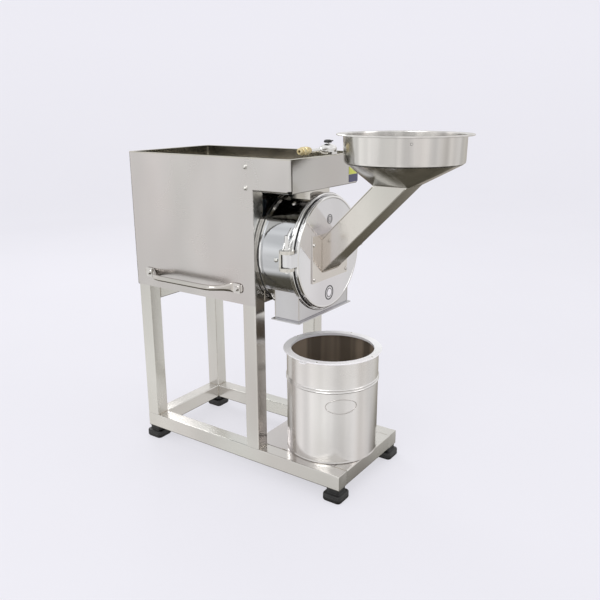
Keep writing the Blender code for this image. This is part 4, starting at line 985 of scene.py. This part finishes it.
def drum():
    low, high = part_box("collecting_drum")
    ring_low, ring_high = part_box("drum_ring")
    centre = Vector(((ring_low.x + ring_high.x) / 2, (ring_low.y + ring_high.y) / 2, 0))
    floor, top = low.z, high.z
    radius = DRUM_RADIUS
    profile = [(0, floor + 0.003), (radius - 0.006, floor + 0.003), (radius - 0.005, floor), (radius - 0.001, floor),
               (radius + 0.0006, floor + 0.0016), (radius + 0.0006, floor + 0.0042), (radius - 0.0006, floor + 0.006)]
    for bead_z in (0.192, 0.199):
        profile += [(radius + 0.0022 * sin(pi * k / 6), floor + bead_z + 0.0052 * k / 6) for k in range(7)]
    profile += [(radius, top - 0.006), (radius, top), (radius - SHEET, top), (radius - SHEET, top - 0.006),
                (radius - SHEET, floor + 0.01), (radius - 0.006, floor + 0.0055), (0, floor + 0.0052)]
    can = turned("drum_can", profile, centre, "Z", 144, DRUM, "drum", closed=False, stands_for="collecting_drum")
    # the inner faces get the painted-shade copy of the drum steel
    can.data.materials.append(DRUM_INSIDE_SHADE)
    for face in can.data.polygons:
        middle = face.center - centre
        if hypot(middle.x, middle.y) < radius - 0.001 and middle.z > floor + 0.004:
            face.material_index = 1

    # a plain pressed oval on the front, and the weld seam at the back
    bm = bmesh.new()
    path = []
    for i in range(65):
        t = 2 * pi * i / 64
        turn = -137 + degrees(0.04 * cos(t) / radius)
        path.append(centre + spoke(turn, radius + 0.0001, floor + 0.158 + 0.019 * sin(t)))
    sweep(bm, path, 0.0011, 8, Vector((-0.73, -0.68, 0)), ends=False)
    seam = centre + spoke(100, radius)
    bead(bm, seam + Vector((0, 0, floor + 0.008)), seam + Vector((0, 0, top - 0.004)), 0.001)
    piece("drum_marks", bm, MARK, "drum", angle=60)

    outer = (ring_high.x - ring_low.x) / 2
    inner = 0.1075
    bm = bmesh.new()
    base, lid = ring_low.z, ring_high.z
    lathe(bm, [(outer - 0.0006, base), (outer, base + 0.0008), (outer, lid - 0.001), (outer - 0.001, lid),
               (inner + 0.0012, lid), (inner, lid - 0.0008), (inner, base - 0.004), (inner + 0.0012, base - 0.004),
               (inner + 0.0014, base)], centre, "Z", 144, closed=True)
    piece("drum_flange", bm, RING, "drum", stands_for="drum_ring")
    bm = bmesh.new()
    for angle in (-166, -95, 7, 82):
        head(bm, centre + spoke(angle, outer - 0.005, lid), "Z", 1, 0.0026, 0.0012, 16)
    piece("drum_rivets", bm, BOLT, "drum", slot="drum_steel")
    bm = bmesh.new()
    tab = centre + spoke(-181, outer + 0.004, base)
    loop = rounded(0.009, 0.007, 0.0025, 4)
    hole = [Vector((x, y)).normalized() * 0.0022 for x, y in loop]
    along = Matrix.Rotation(radians(-181 + 90), 3, "Z")
    rows = []
    for points, z in ((hole, 0.0), (loop, 0.0), (loop, 0.0022), (hole, 0.0022)):
        rows.append([bm.verts.new(tab + along @ Vector((x, y, z))) for x, y in points])
    skin(bm, rows, back=True)
    piece("drum_tab", bm, RING, "drum")


def motor():
    low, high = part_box("motor_body")
    radius = (high.x - low.x) / 2
    bore = radius - 0.01
    fins = 44
    loop = []
    for i in range(fins):
        for share, r in ((0.0, radius), (0.32, radius), (0.42, radius - 0.0055), (0.88, radius - 0.0055)):
            t = 2 * pi * (i + share) / fins
            loop.append((r * cos(t), r * sin(t)))
    inside = [(bore * x / hypot(x, y), bore * y / hypot(x, y)) for x, y in loop]
    bm = bmesh.new()
    rows = []
    for points, y in ((inside, low.y), (loop, low.y), (loop, high.y), (inside, high.y)):
        rows.append([bm.verts.new(AXIS + Vector((b, y, a))) for a, b in points])
    skin(bm, rows, back=True)
    for side in (-1, 1):
        for y in (low.y + 0.02, high.y - 0.055):
            xs = sorted((MID_X + side * 0.03, MID_X + side * 0.07))
            box_shape(bm, (xs[0], y, low.z), (xs[1], y + 0.035, low.z + 0.007), 0.003)
            box_shape(bm, (xs[0] + 0.006, y + 0.006, low.z + 0.006), (xs[1] - 0.006, y + 0.029, low.z + 0.03), 0.003)
    piece("motor_casing", bm, PAINT, stands_for="motor_body", angle=30)

    box_low, box_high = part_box("terminal_box")
    bm = bmesh.new()
    for x in (box_low.x + 0.008, MID_X + 0.032):
        for y in (box_low.y + 0.008, box_high.y - 0.008):
            head(bm, Vector((x, y, box_high.z)), "Z", 1, 0.0032, 0.0018, 20)
    plate_low, plate_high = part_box("motor_base_plate")
    for side in (-1, 1):
        for y in (low.y + 0.0375, high.y - 0.0375):
            head(bm, Vector((MID_X + side * 0.064, y, low.z + 0.007)), "Z", 1, 0.0055, 0.004, 6, 0.0)
        for y in (plate_low.y + 0.01, plate_high.y - 0.01):
            head(bm, Vector((MID_X + side * 0.133, y, plate_high.z)), "Z", 1, 0.006, 0.0042, 6, 0.0095)
    piece("motor_screws", bm, BOLT, angle=30)

    shaft_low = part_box("motor_shaft")[0]
    bm = bmesh.new()
    lathe(bm, [(0.0122, 0.0), (0.0195, 0.0), (0.0205, 0.0016), (0.0205, 0.0104), (0.0195, 0.012), (0.0122, 0.012)],
          AXIS + Vector((0, shaft_low.y + 0.0015, 0)), "Y", 6, closed=True)
    piece("rotor_lock_nut", bm, TOOL, "rotor", angle=20)


def finishes():
    dress(["outlet_spout"], SPOUT)
    dress(["inlet_chute", "feed_throat", "feed_gate", "hinge_bracket", "clamp_bracket"], DUCT)
    dress(["motor_base_plate", "chamber_back_plate", "clamp_washer"], APRON)
    dress(["chamber_shell", "hinge_pin", "swing_bolt"], MIRROR)
    dress(["chamber_door"], DOOR)
    dress(["chamber_gasket", "door_gasket"], RUBBER)
    dress(["motor_front_shield", "motor_rear_shield", "fan_cover", "terminal_box"], PAINT)
    dress(["motor_shaft", "rotor_carrier", "rotor_front_disc"] + [f"hammer_{i}" for i in range(1, 5)], TOOL)
    dress(["cooling_fan"], PLASTIC)


# Studio


def studio():
    floor_colour = (0.843, 0.836, 0.886)
    made, tree, shader, place = blank("studio_floor", 0.0)
    cloud = noise(tree, place, 1.5, 3.0)
    tone = mixed(tree, spread(tree, cloud, 0.0, 1.0), shade(floor_colour, 0.995), shade(floor_colour, 1.005))
    rise = spread(tree, node(tree, "SeparateXYZ", {"Vector": place}).outputs["Z"], 0.0, 1.0, (0.0, 1.6))
    tone = mixed(tree, rise, tone, shade(floor_colour, 1.045))
    pale = mixed(tree, 0.7, tone, (0, 0, 0, 1))
    plug(tree, shader, Base_Color=pale, Emission_Color=tone)
    shader.inputs["Emission Strength"].default_value = 0.7
    shader.inputs["Roughness"].default_value = 0.9
    shader.inputs["Specular IOR Level"].default_value = 0.1
    bm = bmesh.new()
    flat, curve, wall = 4.5, 2.0, 8.0
    profile = [(0, 0.0), (flat, 0.0)]
    profile += [(flat + curve * sin(t), curve * (1 - cos(t))) for t in (radians(10 * k) for k in range(1, 10))]
    lathe(bm, [(r, z - 0.0002) for r, z in profile + [(flat + curve, wall)]], Vector((0, 0, 0)), "Z", 96)
    floor = mesh_object("studio_floor", bm, made)
    floor.visible_glossy = False

    world = bpy.data.worlds.new("studio")
    bpy.context.scene.world = world
    world.use_nodes = True
    tree = world.node_tree
    tree.nodes.clear()
    way = node(tree, "TexCoord").outputs["Generated"]
    parts = node(tree, "SeparateXYZ", {"Vector": way})
    # a room seen only in the metal: bright to the left and above, brown behind, dark below
    turn = node(tree, "Math", {0: parts.outputs["Y"], 1: parts.outputs["X"]}, operation="ARCTAN2").outputs["Value"]
    share = node(tree, "MapRange", {"Value": turn, "From Min": -pi, "From Max": pi}).outputs["Result"]
    ramp = node(tree, "ValToRGB", {"Fac": share})
    stops = [(0.0, (0.98, 0.97, 0.95)), (0.09, (0.99, 0.98, 0.97)), (0.17, (0.84, 0.83, 0.81)),
             (0.24, (1.0, 1.0, 0.99)), (0.29, (0.82, 0.8, 0.77)), (0.4, (0.82, 0.81, 0.8)), (0.5, (0.66, 0.63, 0.58)),
             (0.59, (0.22, 0.18, 0.14)), (0.65, (0.4, 0.36, 0.31)), (0.72, (0.92, 0.91, 0.89)),
             (0.9, (1.0, 0.99, 0.98)), (1.0, (0.98, 0.97, 0.95))]
    elements = ramp.color_ramp.elements
    while len(elements) < len(stops):
        elements.new(0.5)
    for element, (position, colour) in zip(elements, stops):
        element.position = position
        element.color = (*colour, 1)
    height = parts.outputs["Z"]
    overhead = spread(tree, height, 0.0, 1.0, (-0.06, 0.14))
    sides = mixed(tree, overhead, ramp.outputs["Color"], (1.0, 1.0, 1.0, 1))
    # the dark ground reaches higher towards +X and +Y
    beyond = node(tree, "VectorMath", {0: way, 1: (0.19, 0.11, 0.0)}, operation="DOT_PRODUCT").outputs["Value"]
    shaded = node(tree, "Math", {0: beyond, 1: 0.0}, operation="MAXIMUM").outputs["Value"]
    depth = node(tree, "Math", {0: height, 1: shaded}, operation="SUBTRACT").outputs["Value"]
    ground = spread(tree, depth, 0.0, 1.0, (-0.645, -0.525))
    all_round = mixed(tree, ground, (0.115, 0.105, 0.08, 1), sides)
    patches = noise(tree, way, 2.6, 2.0, 0.5)
    mottle = spread(tree, patches, 0.82, 1.1, (0.35, 0.65))
    seen = node(tree, "Background", {"Color": all_round, "Strength": mottle})
    fill = node(tree, "Background", {"Color": (0.985, 0.985, 1.0, 1), "Strength": 0.86})
    rays = node(tree, "LightPath")
    choice = node(tree, "MixShader", {0: rays.outputs["Is Glossy Ray"], 1: fill.outputs[0], 2: seen.outputs[0]})
    node(tree, "OutputWorld", {"Surface": choice.outputs[0]})

    def lamp(name, place, size, watts, colour=(1, 1, 1)):
        data = bpy.data.lights.new(name, "AREA")
        data.shape = "RECTANGLE"
        data.size, data.size_y = size
        data.energy = watts
        data.color = colour
        made = bpy.data.objects.new(name, data)
        made.location = place
        made.rotation_mode = "QUATERNION"
        made.rotation_quaternion = (Vector((0, 0, 0.45)) - Vector(place)).to_track_quat("-Z", "Y")
        bpy.context.scene.collection.objects.link(made)

    lamp("key", (-2.6, -0.4, 2.6), (1.6, 1.2), 24.0)
    lamp("fill", (0.6, -3.0, 1.9), (1.4, 1.4), 10.0)
    lamp("back", (1.4, 2.6, 2.2), (1.2, 0.8), 16.0)

    bpy.context.scene.view_settings.view_transform = "Standard"
    bpy.context.scene.view_settings.look = "None"


def camera():
    """The photograph's view, placed from the stand's near corner."""
    data = bpy.data.cameras.new("camera")
    data.sensor_width = 36.0
    data.lens = 41.13
    made = bpy.data.objects.new("camera", data)
    from_corner = Vector((-1.2755, -0.7687, 0.8851))
    made.location = Vector((RAIL_LOW.x, RAIL_LOW.y, BASE_TOP)) + from_corner
    azimuth, elevation, roll = radians(-55.35), radians(16.22), radians(-0.24)
    back = Vector((sin(azimuth) * cos(elevation), -cos(azimuth) * cos(elevation), sin(elevation)))
    made.rotation_mode = "QUATERNION"
    made.rotation_quaternion = (-back).to_track_quat("-Z", "Y") @ Quaternion((0, 0, 1), roll)
    bpy.context.scene.collection.objects.link(made)
    bpy.context.scene.camera = made


finishes()
stand()
feet()
cover()
tray()
for panel in SIDES:
    handle(*panel)
chamber()
screen()
chute()
hopper()
spout()
hinge()
clamp()
valve()
drum()
motor()
studio()
camera()
